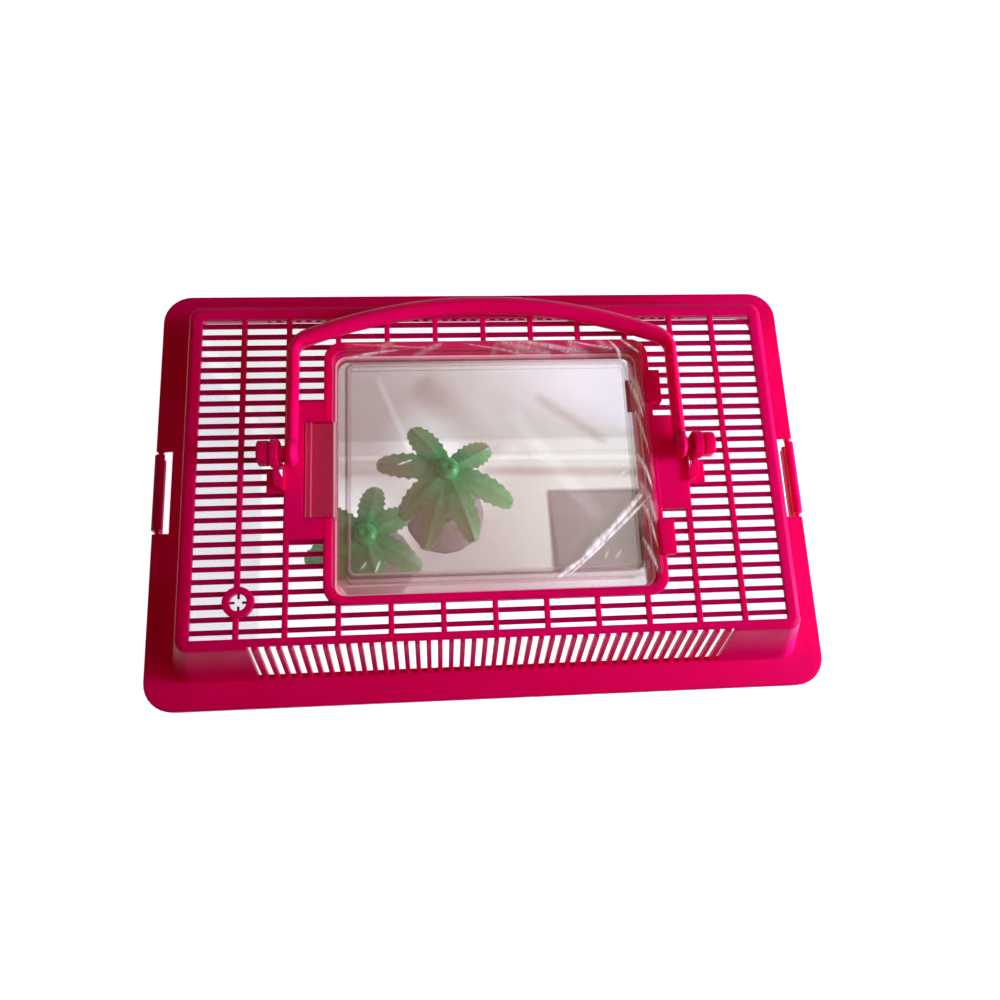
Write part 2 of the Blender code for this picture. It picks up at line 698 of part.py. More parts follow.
def latch_rods(lid):
    """The two rods across the latch openings that the latches swing on."""
    reach = LATCH_OPENING / 2 + OVERLAP
    rods = [((side * ROD_X, -reach, ROD_Z), (side * ROD_X, reach, ROD_Z), ROD_RADIUS) for side in (-1, 1)]
    join(lid, rod_group("latch_rods", rods, sides=SMALL_SIDES))


def make_lid():
    lid = lid_dome()
    cut(lid, lid_slots())
    cut(lid, rib_channels())
    hatch_frame(lid)
    hatch_catches(lid)
    hatch_opening(lid)
    handle_lugs(lid)
    air_line_hole(lid)
    latch_rods(lid)
    return lid


# Hatch door

def make_door():
    """Clear door: flat edge, raised panel, and a tongue with the hinge's barrel and pins."""
    centre = (HATCH_X, ROW_SHIFT)
    half_x = HATCH_HALF_X - DOOR_SIDE_GAP
    half_y = HATCH_HALF_Y - DOOR_SIDE_GAP
    corner = WELL_CORNER - DOOR_SIDE_GAP
    door = loft("hatch_door", [
        (half_x, half_y, corner, DOOR_UNDER),
        (half_x, half_y, corner, DOOR_TOP),
        (half_x - PANEL_MARGIN, half_y - PANEL_MARGIN, PANEL_CORNER, DOOR_TOP),
        (half_x - PANEL_MARGIN - OVERLAP, half_y - PANEL_MARGIN - OVERLAP, PANEL_CORNER - OVERLAP, PANEL_TOP),
    ], CLEAR, centre)
    inset = PANEL_MARGIN + DOOR_THICK
    pocket = loft("panel_pocket", [
        (half_x - inset, half_y - inset, PANEL_CORNER / 2, DOOR_UNDER - DOOR_THICK),
        (half_x - inset, half_y - inset, PANEL_CORNER / 2, PANEL_TOP - DOOR_THICK),
    ], centre=centre)
    cut(door, pocket)
    left = HATCH_X - half_x
    low = ROW_SHIFT - HINGE_HALF
    high = ROW_SHIFT + HINGE_HALF
    tongue_top = HINGE_Z + TONGUE_THICK / 2
    riser = box_group("door_riser", [((left, low, DOOR_TOP - OVERLAP), (left + RISER_THICK, high, tongue_top))])
    join(door, riser)
    tongue = box_group("door_tongue", [(
        (HINGE_X, low + OVERLAP / 2, HINGE_Z - TONGUE_THICK / 2),
        (left + RISER_THICK / 2, high - OVERLAP / 2, tongue_top - OVERLAP / 5),
    )])
    join(door, tongue)
    barrel = rod_group("door_barrel", [((HINGE_X, low, HINGE_Z), (HINGE_X, high, HINGE_Z), BARREL_RADIUS)],
                       sides=SMALL_SIDES)
    join(door, barrel)
    reach = HINGE_HALF + PIN_LENGTH
    pin = rod_group("door_pin", [(
        (HINGE_X, ROW_SHIFT - reach, HINGE_Z), (HINGE_X, ROW_SHIFT + reach, HINGE_Z), PIN_RADIUS
    )], sides=SMALL_SIDES)
    join(door, pin)
    set_origin(door, (HINGE_X, ROW_SHIFT, HINGE_Z))
    return door


# Protective film

def film_height(x, y):
    """Lower face of the film over a point: on the panel, and up over the rim at the back and right."""
    panel = PANEL_TOP + FILM_LIFT
    rim = RIM_TOP + FILM_LIFT
    edge_x = HATCH_X + HATCH_HALF_X - DOOR_SIDE_GAP - PANEL_MARGIN
    edge_y = ROW_SHIFT + HATCH_HALF_Y - DOOR_SIDE_GAP - PANEL_MARGIN
    share_x = (x - edge_x) / (WELL_RIGHT - FILM_CREST - edge_x)
    share_y = (y - edge_y) / (ROW_SHIFT + HATCH_HALF_Y - FILM_CREST - edge_y)
    share = min(1.0, max(0.0, share_x, share_y))
    return panel + (rim - panel) * share


def spaced(low, high, count):
    """Evenly spaced values from low to high."""
    return [low + (high - low) * index / (count - 1) for index in range(count)]


def make_film():
    """Thin loose film, wider than the door at the back and on the catch side."""
    edge_x = HATCH_X + HATCH_HALF_X - DOOR_SIDE_GAP - PANEL_MARGIN
    edge_y = ROW_SHIFT + HATCH_HALF_Y - DOOR_SIDE_GAP - PANEL_MARGIN
    left = WELL_LEFT + DOOR_SIDE_GAP + PANEL_MARGIN
    xs = spaced(left, edge_x, FILM_COLUMNS - 1) + [WELL_RIGHT - FILM_CREST, WELL_RIGHT + FILM_OVERHANG]
    back = ROW_SHIFT + HATCH_HALF_Y
    ys = spaced(ROW_SHIFT - FILM_FRONT, edge_y, FILM_ROWS - 1) + [back - FILM_CREST, back + RIM_WIDTH - OVERLAP]
    bm = bmesh.new()
    bmesh.ops.create_grid(bm, x_segments=len(xs) - 1, y_segments=len(ys) - 1, size=1.0)
    for vert in bm.verts:
        column = round((vert.co.x + 1) / 2 * (len(xs) - 1))
        row = round((vert.co.y + 1) / 2 * (len(ys) - 1))
        vert.co = (xs[column], ys[row], film_height(xs[column], ys[row]))
    film = new_object("protective_film", finish_mesh("protective_film", bm), FILM)
    thicken(film, FILM_THICK)
    set_origin(film, (HINGE_X, ROW_SHIFT, HINGE_Z))
    return film


def thicken(obj, thickness):
    """Solidify upwards from an open surface whose normals point up."""
    solid = obj.modifiers.new("thickness", "SOLIDIFY")
    solid.thickness = thickness
    solid.offset = 1.0


# Handle

def bail_path(half, radius, middle, corner, steps):
    """One edge of the handle from the left leg over the arch to the right leg, and its leg end at Y 0."""
    centre_y = middle - radius
    corner_x = half - corner
    corner_y = centre_y + math.sqrt((radius - corner) ** 2 - corner_x ** 2)
    tilt = math.degrees(math.atan2(corner_y - centre_y, corner_x))
    right = arc((corner_x, corner_y), corner, 0, tilt, CORNER_STEPS)
    top = arc((0.0, centre_y), radius, tilt, 180 - tilt, steps)[1:-1]
    left = [(-x, y) for x, y in reversed(right)]
    return [(half, PIVOT_Y)] + right + top + left + [(-half, PIVOT_Y)]


def cap_outline():
    """Section of a cap about the pivot: round, with a flat front, +Y and Z in the outline's plane."""
    flat = 180 - math.degrees(math.acos(CAP_FLAT / CAP_RADIUS))
    return arc((0.0, 0.0), CAP_RADIUS, -flat, flat, ROUND_SIDES)


def make_handle():
    """Carrying bail: two legs and a shallow arch, a knuckle, a stud and a cap at each end."""
    outer = bail_path(HANDLE_HALF, ARCH_RADIUS, ARCH_REACH, ARCH_CORNER, ARCH_STEPS)
    inner = bail_path(HANDLE_HALF - LEG_WIDTH, ARCH_RADIUS, ARCH_REACH - ARCH_WIDTH, ARCH_INNER_CORNER,
                      ARCH_STEPS)
    handle = extrude_outline("handle", outer + list(reversed(inner)), HANDLE_THICK,
                             Matrix.Translation((0.0, 0.0, PIVOT_Z)), PINK)
    cap_near = LUG_INNER + LUG_THICK + OVERLAP
    along_x = Matrix(((0, 0, 1), (1, 0, 0), (0, 1, 0))).to_4x4()
    for side, word in ((1, "right"), (-1, "left")):
        def at(x):
            return (side * x, PIVOT_Y, PIVOT_Z)
        inner_x = HANDLE_HALF - LEG_WIDTH
        knuckle = (at(inner_x - OVERLAP / 4), at(HANDLE_HALF + OVERLAP / 4), KNUCKLE_RADIUS)
        join(handle, rod_group("handle_knuckle_" + word, [knuckle]))
        stud = (at(HANDLE_HALF - LEG_WIDTH / 2), at(cap_near + OVERLAP), STUD_RADIUS)
        join(handle, rod_group("handle_stud_" + word, [stud]))
        cap = extrude_outline("handle_cap_" + word, cap_outline(), CAP_THICK,
                              Matrix.Translation(at(cap_near + CAP_THICK / 2)) @ along_x)
        join(handle, cap)
    set_origin(handle, (0.0, PIVOT_Y, PIVOT_Z))
    return handle


# Side latches

def latch_outline():
    """Section of the right-hand latch about the rod's axis, X outwards and Z up."""
    inner = ROD_RADIUS + RUN_GAP
    outer = inner + LATCH_WALL
    hook_tip = LIP_HALF_X + SEAT_GAP - ROD_X
    hook_top = -LATCH_HOOK_DROP
    hook_low = hook_top - LATCH_HOOK_THICK
    points = arc((0.0, 0.0), outer, 0, LATCH_WRAP, 8)
    points += arc((0.0, 0.0), inner, LATCH_WRAP, 0, 6)
    points += [(inner, hook_top), (hook_tip, hook_top), (hook_tip, hook_low), (inner, hook_low - LATCH_WALL)]
    points += [(inner, -LATCH_DROP), (outer, -LATCH_DROP)]
    return points


def make_latch(side, name):
    """A latch that hangs on its rod, outside the tank's lip."""
    outline = [(x, z) for x, z in latch_outline()]
    place = Matrix.Translation((side * ROD_X, 0.0, ROD_Z)) @ Matrix.Diagonal((side, 1.0, 1.0, 1.0))
    stand = Matrix.Rotation(math.pi / 2, 4, "X")
    latch = extrude_outline(name, outline, LATCH_OPENING - 2 * LATCH_END_GAP, place @ stand, PINK)
    set_origin(latch, (side * ROD_X, 0.0, ROD_Z))
    return latch


# Tank

def make_tank():
    """Tapered clear tank with an outward lip and a shallow recess under its floor."""
    wall_x = LIP_HALF_X - TANK_LIP_REACH
    wall_y = LIP_HALF_Y - TANK_LIP_REACH
    base_x = wall_x - TANK_TAPER
    base_y = wall_y - TANK_TAPER
    lip_under = TANK_HEIGHT - TANK_LIP_DROP
    lip_corner = LID_CORNER - LID_WALL - SIDE_GAP
    tank = loft("tank", [
        (base_x - TANK_BASE_ROUND, base_y - TANK_BASE_ROUND, TANK_CORNER, 0.0),
        (base_x, base_y, TANK_CORNER, TANK_BASE_ROUND),
        (wall_x, wall_y, TANK_CORNER, lip_under),
        (LIP_HALF_X, LIP_HALF_Y, lip_corner, lip_under),
        (LIP_HALF_X, LIP_HALF_Y, lip_corner, TANK_HEIGHT),
    ], CLEAR)
    inner_corner = TANK_CORNER - TANK_WALL / 2
    slope = TANK_TAPER / (lip_under - TANK_BASE_ROUND)
    extra = slope * (TANK_HEIGHT + TANK_WALL - lip_under)
    hollow = loft("tank_hollow", [
        (base_x - TANK_WALL, base_y - TANK_WALL, inner_corner, TANK_FLOOR),
        (wall_x - TANK_WALL + extra, wall_y - TANK_WALL + extra, inner_corner, TANK_HEIGHT + TANK_WALL),
    ])
    cut(tank, hollow)
    recess_x = base_x - TANK_BASE_ROUND - BASE_RING
    recess_y = base_y - TANK_BASE_ROUND - BASE_RING
    recess = loft("base_recess", [
        (recess_x, recess_y, TANK_CORNER / 2, -BASE_RECESS),
        (recess_x, recess_y, TANK_CORNER / 2, BASE_RECESS),
    ])
    cut(tank, recess)
    return tank


# Palm trees

def make_palm_base(name, place):
    """Low round island with a socket for the trunk."""
    socket = TRUNK_FOOT + SEAT_GAP
    profile = [
        (0.0, PALM_BASE_HEIGHT - SOCKET_DEPTH),
        (socket, PALM_BASE_HEIGHT - SOCKET_DEPTH),
        (socket, PALM_BASE_HEIGHT),
        (PALM_BASE_SHOULDER, PALM_BASE_HEIGHT - PALM_BASE_RIM / 2),
        (PALM_BASE_RADIUS, PALM_BASE_RIM),
        (PALM_BASE_RADIUS, 0.0),
        (0.0, 0.0),
    ]
    return turned(name, profile, (*place, TANK_FLOOR + SEAT_GAP), STONE, ROUND_SIDES)


def make_palm_trunk(name, place, height):
    """Ringed trunk with a peg on top for the crown."""
    foot = TANK_FLOOR + 2 * SEAT_GAP + PALM_BASE_HEIGHT - SOCKET_DEPTH
    length = height - foot
    profile = [(0.0, length + PEG_LENGTH), (PEG_RADIUS, length + PEG_LENGTH), (PEG_RADIUS, length)]
    start = SOCKET_DEPTH
    for ring in range(TRUNK_RINGS, 0, -1):
        share = ring / TRUNK_RINGS
        radius = TRUNK_FOOT + (TRUNK_TOP - TRUNK_FOOT) * share
        level = start + (length - start) * share
        profile.append((radius, level))
        profile.append((radius - TRUNK_RING_STEP, level - (length - start) / TRUNK_RINGS * TRUNK_RING_SHARE))
    profile += [(TRUNK_FOOT, start), (TRUNK_FOOT, 0.0), (0.0, 0.0)]
    return turned(name, profile, (*place, foot), TRUNK)


def frond_mesh(name, length, droop, root_z):
    """One drooping leaf along +X: a folded strip, widest past its middle, before it is thickened."""
    bm = bmesh.new()
    along = 6
    bmesh.ops.create_grid(bm, x_segments=along, y_segments=2, size=1.0)
    for vert in bm.verts:
        share = (vert.co.x + 1) / 2
        side = vert.co.y
        swell = math.sin(math.pi * (0.12 + 0.80 * share)) ** FROND_BLUNT
        half = FROND_HALF * (FROND_NARROW + (1 - FROND_NARROW) * swell)
        x = FROND_ROOT + (length - FROND_ROOT) * share
        z = root_z + droop * FROND_ARCH * share - droop * (1 + FROND_ARCH) * share ** 2
        z -= FROND_FOLD * abs(side) * (1 + 2 * share) / 3
        vert.co = (x, side * half, z)
    return finish_mesh(name, bm)


def make_palm_crown(name, place, height, fronds):
    """Hub with a blind hole for the trunk's peg, and one leaf for each (angle, length, droop)."""
    under = height + SEAT_GAP
    bore = PEG_RADIUS + SEAT_GAP
    profile = [
        (0.0, HUB_HEIGHT), (HUB_RADIUS * HUB_SHOULDER, HUB_HEIGHT - OVERLAP),
        (HUB_RADIUS, HUB_HEIGHT * HUB_SHOULDER),
        (HUB_RADIUS, 0.0), (bore, 0.0), (bore, PEG_LENGTH + SEAT_GAP), (0.0, PEG_LENGTH + SEAT_GAP),
    ]
    crown = turned(name, profile, (*place, under), LEAF)
    for index, (angle, length, droop) in enumerate(fronds):
        leaf_name = f"{name}_leaf_{index}"
        root_z = HUB_HEIGHT * LEAF_LEVELS[index % len(LEAF_LEVELS)]
        leaf = new_object(leaf_name, frond_mesh(leaf_name, length, droop, root_z))
        leaf.location = (*place, under)
        leaf.rotation_euler = (0.0, 0.0, math.radians(angle))
        thicken(leaf, FROND_THICK)
        join(crown, leaf)
    return crown


def make_palm(number, place, height, fronds):
    prefix = f"palm_{number}_"
    make_palm_base(prefix + "base", place)
    make_palm_trunk(prefix + "trunk", place, height)
    make_palm_crown(prefix + "crown", place, height, fronds)


# Places of the palms, the height of each trunk, and each leaf's angle, length and droop
PALMS = (
    ((-0.0157, 0.0282), 0.100,
     ((30, 0.028, 0.004), (127, 0.032, 0.004), (171, 0.039, 0.005), (222, 0.035, 0.012),
      (252, 0.043, 0.014), (290, 0.041, 0.008), (334, 0.040, 0.010))),
    ((-0.0612, -0.0028), 0.084,
     ((30, 0.028, 0.008), (78, 0.029, 0.005), (150, 0.030, 0.006), (201, 0.036, 0.008),
      (243, 0.030, 0.012), (283, 0.029, 0.008), (328, 0.035, 0.010))),
)


def make_carrier():
    make_tank()
    make_lid()
    make_door()
    make_film()
    make_handle()
    make_latch(1, "latch_right")
    make_latch(-1, "latch_left")
    for number, (place, height, fronds) in enumerate(PALMS, start=1):
        make_palm(number, place, height, fronds)


make_carrier()
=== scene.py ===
"""Looks of the plastic critter carrier: finishes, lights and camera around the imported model.

Metres, +Z up, in the model's own frame.
"""
import math

import bmesh
import bpy
from mathutils import Matrix, Vector
from mathutils import noise


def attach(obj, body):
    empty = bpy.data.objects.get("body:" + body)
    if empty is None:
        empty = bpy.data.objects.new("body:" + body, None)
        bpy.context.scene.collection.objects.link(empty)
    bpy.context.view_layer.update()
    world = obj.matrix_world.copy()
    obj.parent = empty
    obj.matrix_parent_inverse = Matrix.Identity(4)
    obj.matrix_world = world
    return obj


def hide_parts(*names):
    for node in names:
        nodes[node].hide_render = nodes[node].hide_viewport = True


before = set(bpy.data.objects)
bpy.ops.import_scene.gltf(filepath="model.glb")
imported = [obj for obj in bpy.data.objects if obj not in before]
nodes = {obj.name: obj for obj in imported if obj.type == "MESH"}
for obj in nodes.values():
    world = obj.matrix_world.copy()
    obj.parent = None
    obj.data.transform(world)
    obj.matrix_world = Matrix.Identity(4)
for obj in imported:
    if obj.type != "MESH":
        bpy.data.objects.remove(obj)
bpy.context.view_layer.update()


# Camera

CAMERA_PLACE = (-0.027556, -0.117512, 0.567617)
CAMERA_RIGHT = Vector((0.99621, -0.04691, 0.07322))
CAMERA_UP = Vector((0.02570, 0.96323, 0.26744))
CAMERA_LENS = 32.19          # millimetres
CAMERA_SENSOR = 36.0         # width in millimetres
CAMERA_SHIFT = -0.0006       # share of the picture's width
CAMERA_CLIP = (0.01, 20.0)


def make_camera():
    data = bpy.data.cameras.new("camera")
    data.lens = CAMERA_LENS
    data.sensor_width = CAMERA_SENSOR
    data.shift_x = CAMERA_SHIFT
    data.clip_start, data.clip_end = CAMERA_CLIP
    camera = bpy.data.objects.new("camera", data)
    bpy.context.scene.collection.objects.link(camera)
    right = CAMERA_RIGHT.normalized()
    back = right.cross(CAMERA_UP).normalized()
    up = back.cross(right)
    turn = Matrix((right, up, back)).transposed().to_4x4()
    camera.matrix_world = Matrix.Translation(CAMERA_PLACE) @ turn
    bpy.context.scene.camera = camera


# Material helpers

class Look:
    """A material under construction: its tree, its Principled shader and short ways to add nodes."""

    def __init__(self, name):
        self.material = bpy.data.materials.new(name)
        self.material.use_nodes = True
        self.tree = self.material.node_tree
        self.shader = self.tree.nodes["Principled BSDF"]
        self.place = self.tree.nodes.new("ShaderNodeTexCoord").outputs["Object"]

    def node(self, kind, values=(), **settings):
        """Add a node, set its properties and the sockets given as (name, value or socket)."""
        node = self.tree.nodes.new("ShaderNode" + kind)
        for key, value in settings.items():
            setattr(node, key, value)
        for key, value in values:
            self.feed(value, node.inputs[key])
        return node

    def feed(self, value, socket):
        if isinstance(value, bpy.types.NodeSocket):
            self.tree.links.new(value, socket)
        else:
            socket.default_value = value

    def set(self, **values):
        """Set or link the shader's own sockets."""
        for key, value in values.items():
            self.feed(value, self.shader.inputs[key.replace("_", " ")])

    def math(self, operation, *values, clamp=False):
        node = self.node("Math", enumerate(values), operation=operation, use_clamp=clamp)
        return node.outputs[0]

    def fold(self, operation, values):
        """Join two or more values by one operation."""
        total = values[0]
        for value in values[1:]:
            total = self.math(operation, total, value)
        return total

    def plus(self, *values):
        return self.fold("ADD", values)

    def times(self, *values):
        return self.fold("MULTIPLY", values)

    def most(self, *values):
        return self.fold("MAXIMUM", values)

    def minus(self, first, second):
        return self.math("SUBTRACT", first, second)

    def absolute(self, value):
        return self.math("ABSOLUTE", value)

    def hypotenuse(self, first, second):
        return self.math("SQRT", self.plus(self.times(first, first), self.times(second, second)))

    def noise(self, scale, detail=2.0, roughness=0.5, place=None):
        return self.node("TexNoise", [
            ("Vector", place or self.place), ("Scale", scale),
            ("Detail", detail), ("Roughness", roughness),
        ]).outputs[0]

    def span(self, value, low, high, to_low=0.0, to_high=1.0, smooth=False):
        """Map a range of a value to another range, clamped."""
        node = self.node("MapRange", [
            ("Value", value), ("From Min", low), ("From Max", high),
            ("To Min", to_low), ("To Max", to_high),
        ])
        if smooth:
            node.interpolation_type = "SMOOTHSTEP"
        return node.outputs[0]

    def mix(self, share, first, second):
        """Blend two colours, by the sockets that a Mix node has for colours."""
        return self.node("Mix", [(0, share), (6, first), (7, second)], data_type="RGBA").outputs[2]

    def bump(self, height, strength, distance):
        node = self.node("Bump", [("Height", height), ("Strength", strength), ("Distance", distance)])
        self.tree.links.new(node.outputs[0], self.shader.inputs["Normal"])

    def mark(self, name):
        """A number that the mesh carries at each of its points."""
        return self.node("Attribute", attribute_name=name).outputs["Fac"]

    def facing(self, blend):
        return self.node("LayerWeight", [("Blend", blend)]).outputs["Facing"]

    def axes(self):
        return tuple(self.node("SeparateXYZ", [("Vector", self.place)]).outputs)

    def stretched(self, scale):
        """The object's coordinates times a scale for each axis."""
        return self.node("Mapping", [("Vector", self.place), ("Scale", scale)]).outputs[0]


def rgb(red, green, blue):
    return (red, green, blue, 1.0)


# Pink lid, handle and latches

PINK_DEEP = rgb(0.86, 0.0005, 0.104)
PINK_BRIGHT = rgb(0.94, 0.0008, 0.138)
# painted shade: the darker tone given to the grille's thin ribs
PINK_RIB_SHADE = rgb(0.36, 0.0010, 0.075)
PINK_SHINE = rgb(1.0, 0.03, 0.45)
RIB_SHADE_SHARE = 0.85         # share of the painted shade that darkens the ribs
GRAIN_HEIGHT = 0.000014
WAVE_HEIGHT = 0.00012
GLOW_SHARE = 0.65            # of the light that goes on inside the plastic
GLOW_RADIUS = (1.0, 0.04, 0.10)
GLOW_REACH = 0.007
GRILLE_HALF = (0.1252, 0.0729)
RIB_UNDER = 0.1970           # the ribs lie between this level
RIB_TOP = 0.1995             # and this one
RIB_FADE = 0.0002


def rib_shade_mask(look):
    """1 on the grille's thin ribs, where painted shade makes them read darker than the thick bars, and 0
    elsewhere.
    """
    x, y, z = look.axes()
    inside = look.times(*[
        look.math("LESS_THAN", look.absolute(value), half) for value, half in zip((x, y), GRILLE_HALF)
    ])
    level = look.times(look.math("GREATER_THAN", z, RIB_UNDER),
                       look.span(z, RIB_TOP - RIB_FADE, RIB_TOP + RIB_FADE, 1.0, 0.0))
    return look.times(inside, level)


def pink_plastic():
    """Glossy moulded polypropylene: slight clouding, fine satin grain, a few light scuffs, and painted
    shade on the grille's ribs.
    """
    look = Look("pink_plastic_look")
    tone = look.mix(look.span(look.noise(18.0, 3.0), 0.35, 0.65), PINK_DEEP, PINK_BRIGHT)
    # Painted shade: the ribs take a darker purple-red tone in place of the shade they sit in.
    tone = look.mix(look.times(rib_shade_mask(look), RIB_SHADE_SHARE), tone, PINK_RIB_SHADE)
    scuff = look.noise(60.0, 6.0, 0.7, look.stretched((1.0, 9.0, 1.0)))
    grain = look.times(look.noise(2200.0, 2.0), GRAIN_HEIGHT)
    wave = look.times(look.noise(45.0, 2.0), WAVE_HEIGHT)
    look.bump(look.plus(grain, wave), 1.0, 1.0)
    look.set(Base_Color=tone, Roughness=look.span(scuff, 0.35, 0.75, 0.32, 0.46))
    look.set(Specular_IOR_Level=0.12, Specular_Tint=PINK_SHINE)
    look.set(Subsurface_Weight=GLOW_SHARE, Subsurface_Radius=GLOW_RADIUS, Subsurface_Scale=GLOW_REACH)
    return look.material


# Clear tank

def tank_plastic():
    """Clear styrene: nearly invisible face on, denser towards its edges, with faint haze."""
    look = Look("tank_plastic_look")
    body = look.span(look.facing(0.35), 0.25, 1.0, 0.035, 0.55)
    veil = look.span(look.noise(25.0, 4.0, 0.6), 0.45, 0.8, 0.0, 0.03)
    look.set(Base_Color=rgb(0.56, 0.60, 0.64), Alpha=look.math("ADD", body, veil, clamp=True))
    look.set(Roughness=look.span(look.noise(90.0, 3.0), 0.3, 0.7, 0.05, 0.11))
    look.bump(look.noise(30.0, 1.0), 0.15, 0.0006)
    return look.material


# Clear hatch door

DOOR_CENTRE = (0.0017, -0.0008)      # X and Y, as for the other places on the door
DOOR_HALF = (0.06835, 0.05455)
DOOR_CORNER = 0.0060
PANEL_CENTRE = (0.00175, 0.00165)
PANEL_HALF = (0.06325, 0.04895)
PANEL_CORNER = 0.0040
PLATE_LEFT = (-0.0670, -0.0660)      # X over which the haze starts, right of the tongue
TONGUE_RIGHT = (-0.0672, -0.0664)    # X over which the tongue's tone ends
LEDGE_LEFT = (0.0656, 0.0666)        # X over which the ledge on the catch side starts
BORDER_BACK = (-0.0480, -0.0470)     # Y over which the front border ends
LOW_LINE = -0.0505                   # Y of the line that catches light in the front border
LOW_LINE_END = (0.060, 0.063)        # distance from the middle over which it fades
TONGUE_LINES = (-0.0782, -0.0758)
TONGUE_TOP = 0.0226
FIELD_CENTRE = (0.0460, -0.0290)     # a painted dark reflection, drawn as a denser rectangle
FIELD_HALF = (0.0205, 0.0178)
FIELD_FADE = 0.0010
FIELD_SHADE_DENSITY = 0.40
# Haze and painted shade: the door's cover is densest at the hinge, where the floor seen through it is
# shaded, and thinnest at the catches, where it is lit.
VEIL_DENSE = 0.38                    # at the hinge
VEIL_THIN = 0.11                     # at the catches
VEIL_LEAST = 0.02
CLEARING = 0.68                      # share of the haze and painted shade that a cleaner patch lacks
CLEAR_PATCHES = (                    # centre and radius
    ((-0.0165, 0.0060), 0.036),
    ((-0.0560, -0.0250), 0.030),
    ((-0.0185, 0.0055), 0.010),
    ((-0.0545, -0.0230), 0.010),
)
SHADE_STREAKS = (                     # painted shadow streaks, and painted light streaks where the added density is negative: start, end, half width and added density
    ((0.0226, 0.0330), (0.0527, 0.0110), 0.0040, 0.16),
    ((-0.0035, -0.0016), (0.0678, -0.0036), 0.0036, 0.22),
    ((-0.0640, -0.0010), (-0.0300, -0.0016), 0.0030, 0.08),
    ((-0.0640, 0.0056), (0.0678, 0.0034), 0.0020, -0.13),
    ((0.0253, -0.0115), (0.0278, -0.0470), 0.0016, 0.20),
    ((0.0253, -0.0115), (0.0664, -0.0126), 0.0008, 0.10),
    ((-0.0473, 0.0423), (-0.0338, 0.0082), 0.0025, -0.10),
    ((0.0109, 0.0251), (0.0477, -0.0247), 0.0060, -0.08),
    ((-0.0300, 0.0410), (0.0050, 0.0050), 0.0120, 0.16),
)


def streak_place(look, start, end):
    """How far a point lies across a line in the XY plane, and how far along it, from 0 to 1."""
    x, y = look.axes()[:2]
    dx = end[0] - start[0]
    dy = end[1] - start[1]
    length = math.hypot(dx, dy)
    out_x = look.minus(x, start[0])
    out_y = look.minus(y, start[1])
    across = look.minus(look.times(out_x, dy / length), look.times(out_y, dx / length))
    along = look.plus(look.times(out_x, dx / length ** 2), look.times(out_y, dy / length ** 2))
    return across, along


def border_distance(look, centre, half, corner):
    """Distance outside (or, near the border, inside) a rounded rectangle in the XY plane."""
    reach = [
        look.most(look.minus(look.absolute(look.minus(value, middle)), size - corner), 0.0)
        for value, middle, size in zip(look.axes(), centre, half)
    ]
    return look.minus(look.hypotenuse(*reach), corner)


def line_at(look, distance, place, half):
    """1 on a line at a distance, fading to 0 over its half width."""
    away = look.absolute(look.minus(distance, place))
    return look.span(away, half * 0.4, half, 1.0, 0.0, smooth=True)


def soft_disc(look, centre, radius):
    """1 in the middle of a soft round patch, 0 outside it."""
    x, y = look.axes()[:2]
    away = look.hypotenuse(look.minus(x, centre[0]), look.minus(y, centre[1]))
    return look.span(away, radius * 0.35, radius, 1.0, 0.0, smooth=True)


def dark_reflection_field(look):
    """1 inside the painted dark reflection, a rectangle near the front right of the door."""
    shares = []
    for value, middle, half in zip(look.axes(), FIELD_CENTRE, FIELD_HALF):
        away = look.absolute(look.minus(value, middle))
        shares.append(look.span(away, half - FIELD_FADE, half + FIELD_FADE, 1.0, 0.0, smooth=True))
    return look.times(*shares)


def door_haze_and_shade(look, lit_share):
    """How dense the door's haze and painted shade are at each point: painted shadow and light streaks, a
    painted dark reflection, and cleaner patches.
    """
    veil = look.span(lit_share, 0.0, 1.0, VEIL_DENSE, VEIL_THIN)
    for centre, radius in CLEAR_PATCHES:
        cleared = look.times(soft_disc(look, centre, radius), CLEARING)
        veil = look.times(veil, look.minus(1.0, cleared))
    # Painted shadow and light streaks across the door.
    for start, end, half, amount in SHADE_STREAKS:
        across, along = streak_place(look, start, end)
        near = look.span(look.absolute(across), 0.0, half, amount, 0.0, smooth=True)
        inside = look.times(look.span(along, -0.06, 0.08, smooth=True),
                            look.span(along, 0.92, 1.06, 1.0, 0.0, smooth=True))
        veil = look.plus(veil, look.times(near, inside))
    veil = look.plus(veil, look.times(dark_reflection_field(look), FIELD_SHADE_DENSITY))
    return look.most(veil, VEIL_LEAST)


def door_light(look, plate, tongue, inner):
    """Light caught along the door's rim, the panel's foot and the tongue's lines."""
    x, y = look.axes()[:2]
    rim = line_at(look, border_distance(look, DOOR_CENTRE, DOOR_HALF, DOOR_CORNER), -0.0005, 0.0009)
    foot = line_at(look, inner, -0.0014, 0.0006)
    low = look.times(line_at(look, y, LOW_LINE, 0.0008),
                     look.span(look.absolute(x), *LOW_LINE_END, 1.0, 0.0))
    light = look.most(look.times(rim, plate), look.times(look.most(foot, low), 0.40))
    for place in TONGUE_LINES:
        light = look.most(light, look.times(line_at(look, x, place, 0.0004), 0.50))
    top = look.times(line_at(look, y, TONGUE_TOP, 0.0007), tongue)
    return look.most(light, look.times(top, 0.8))


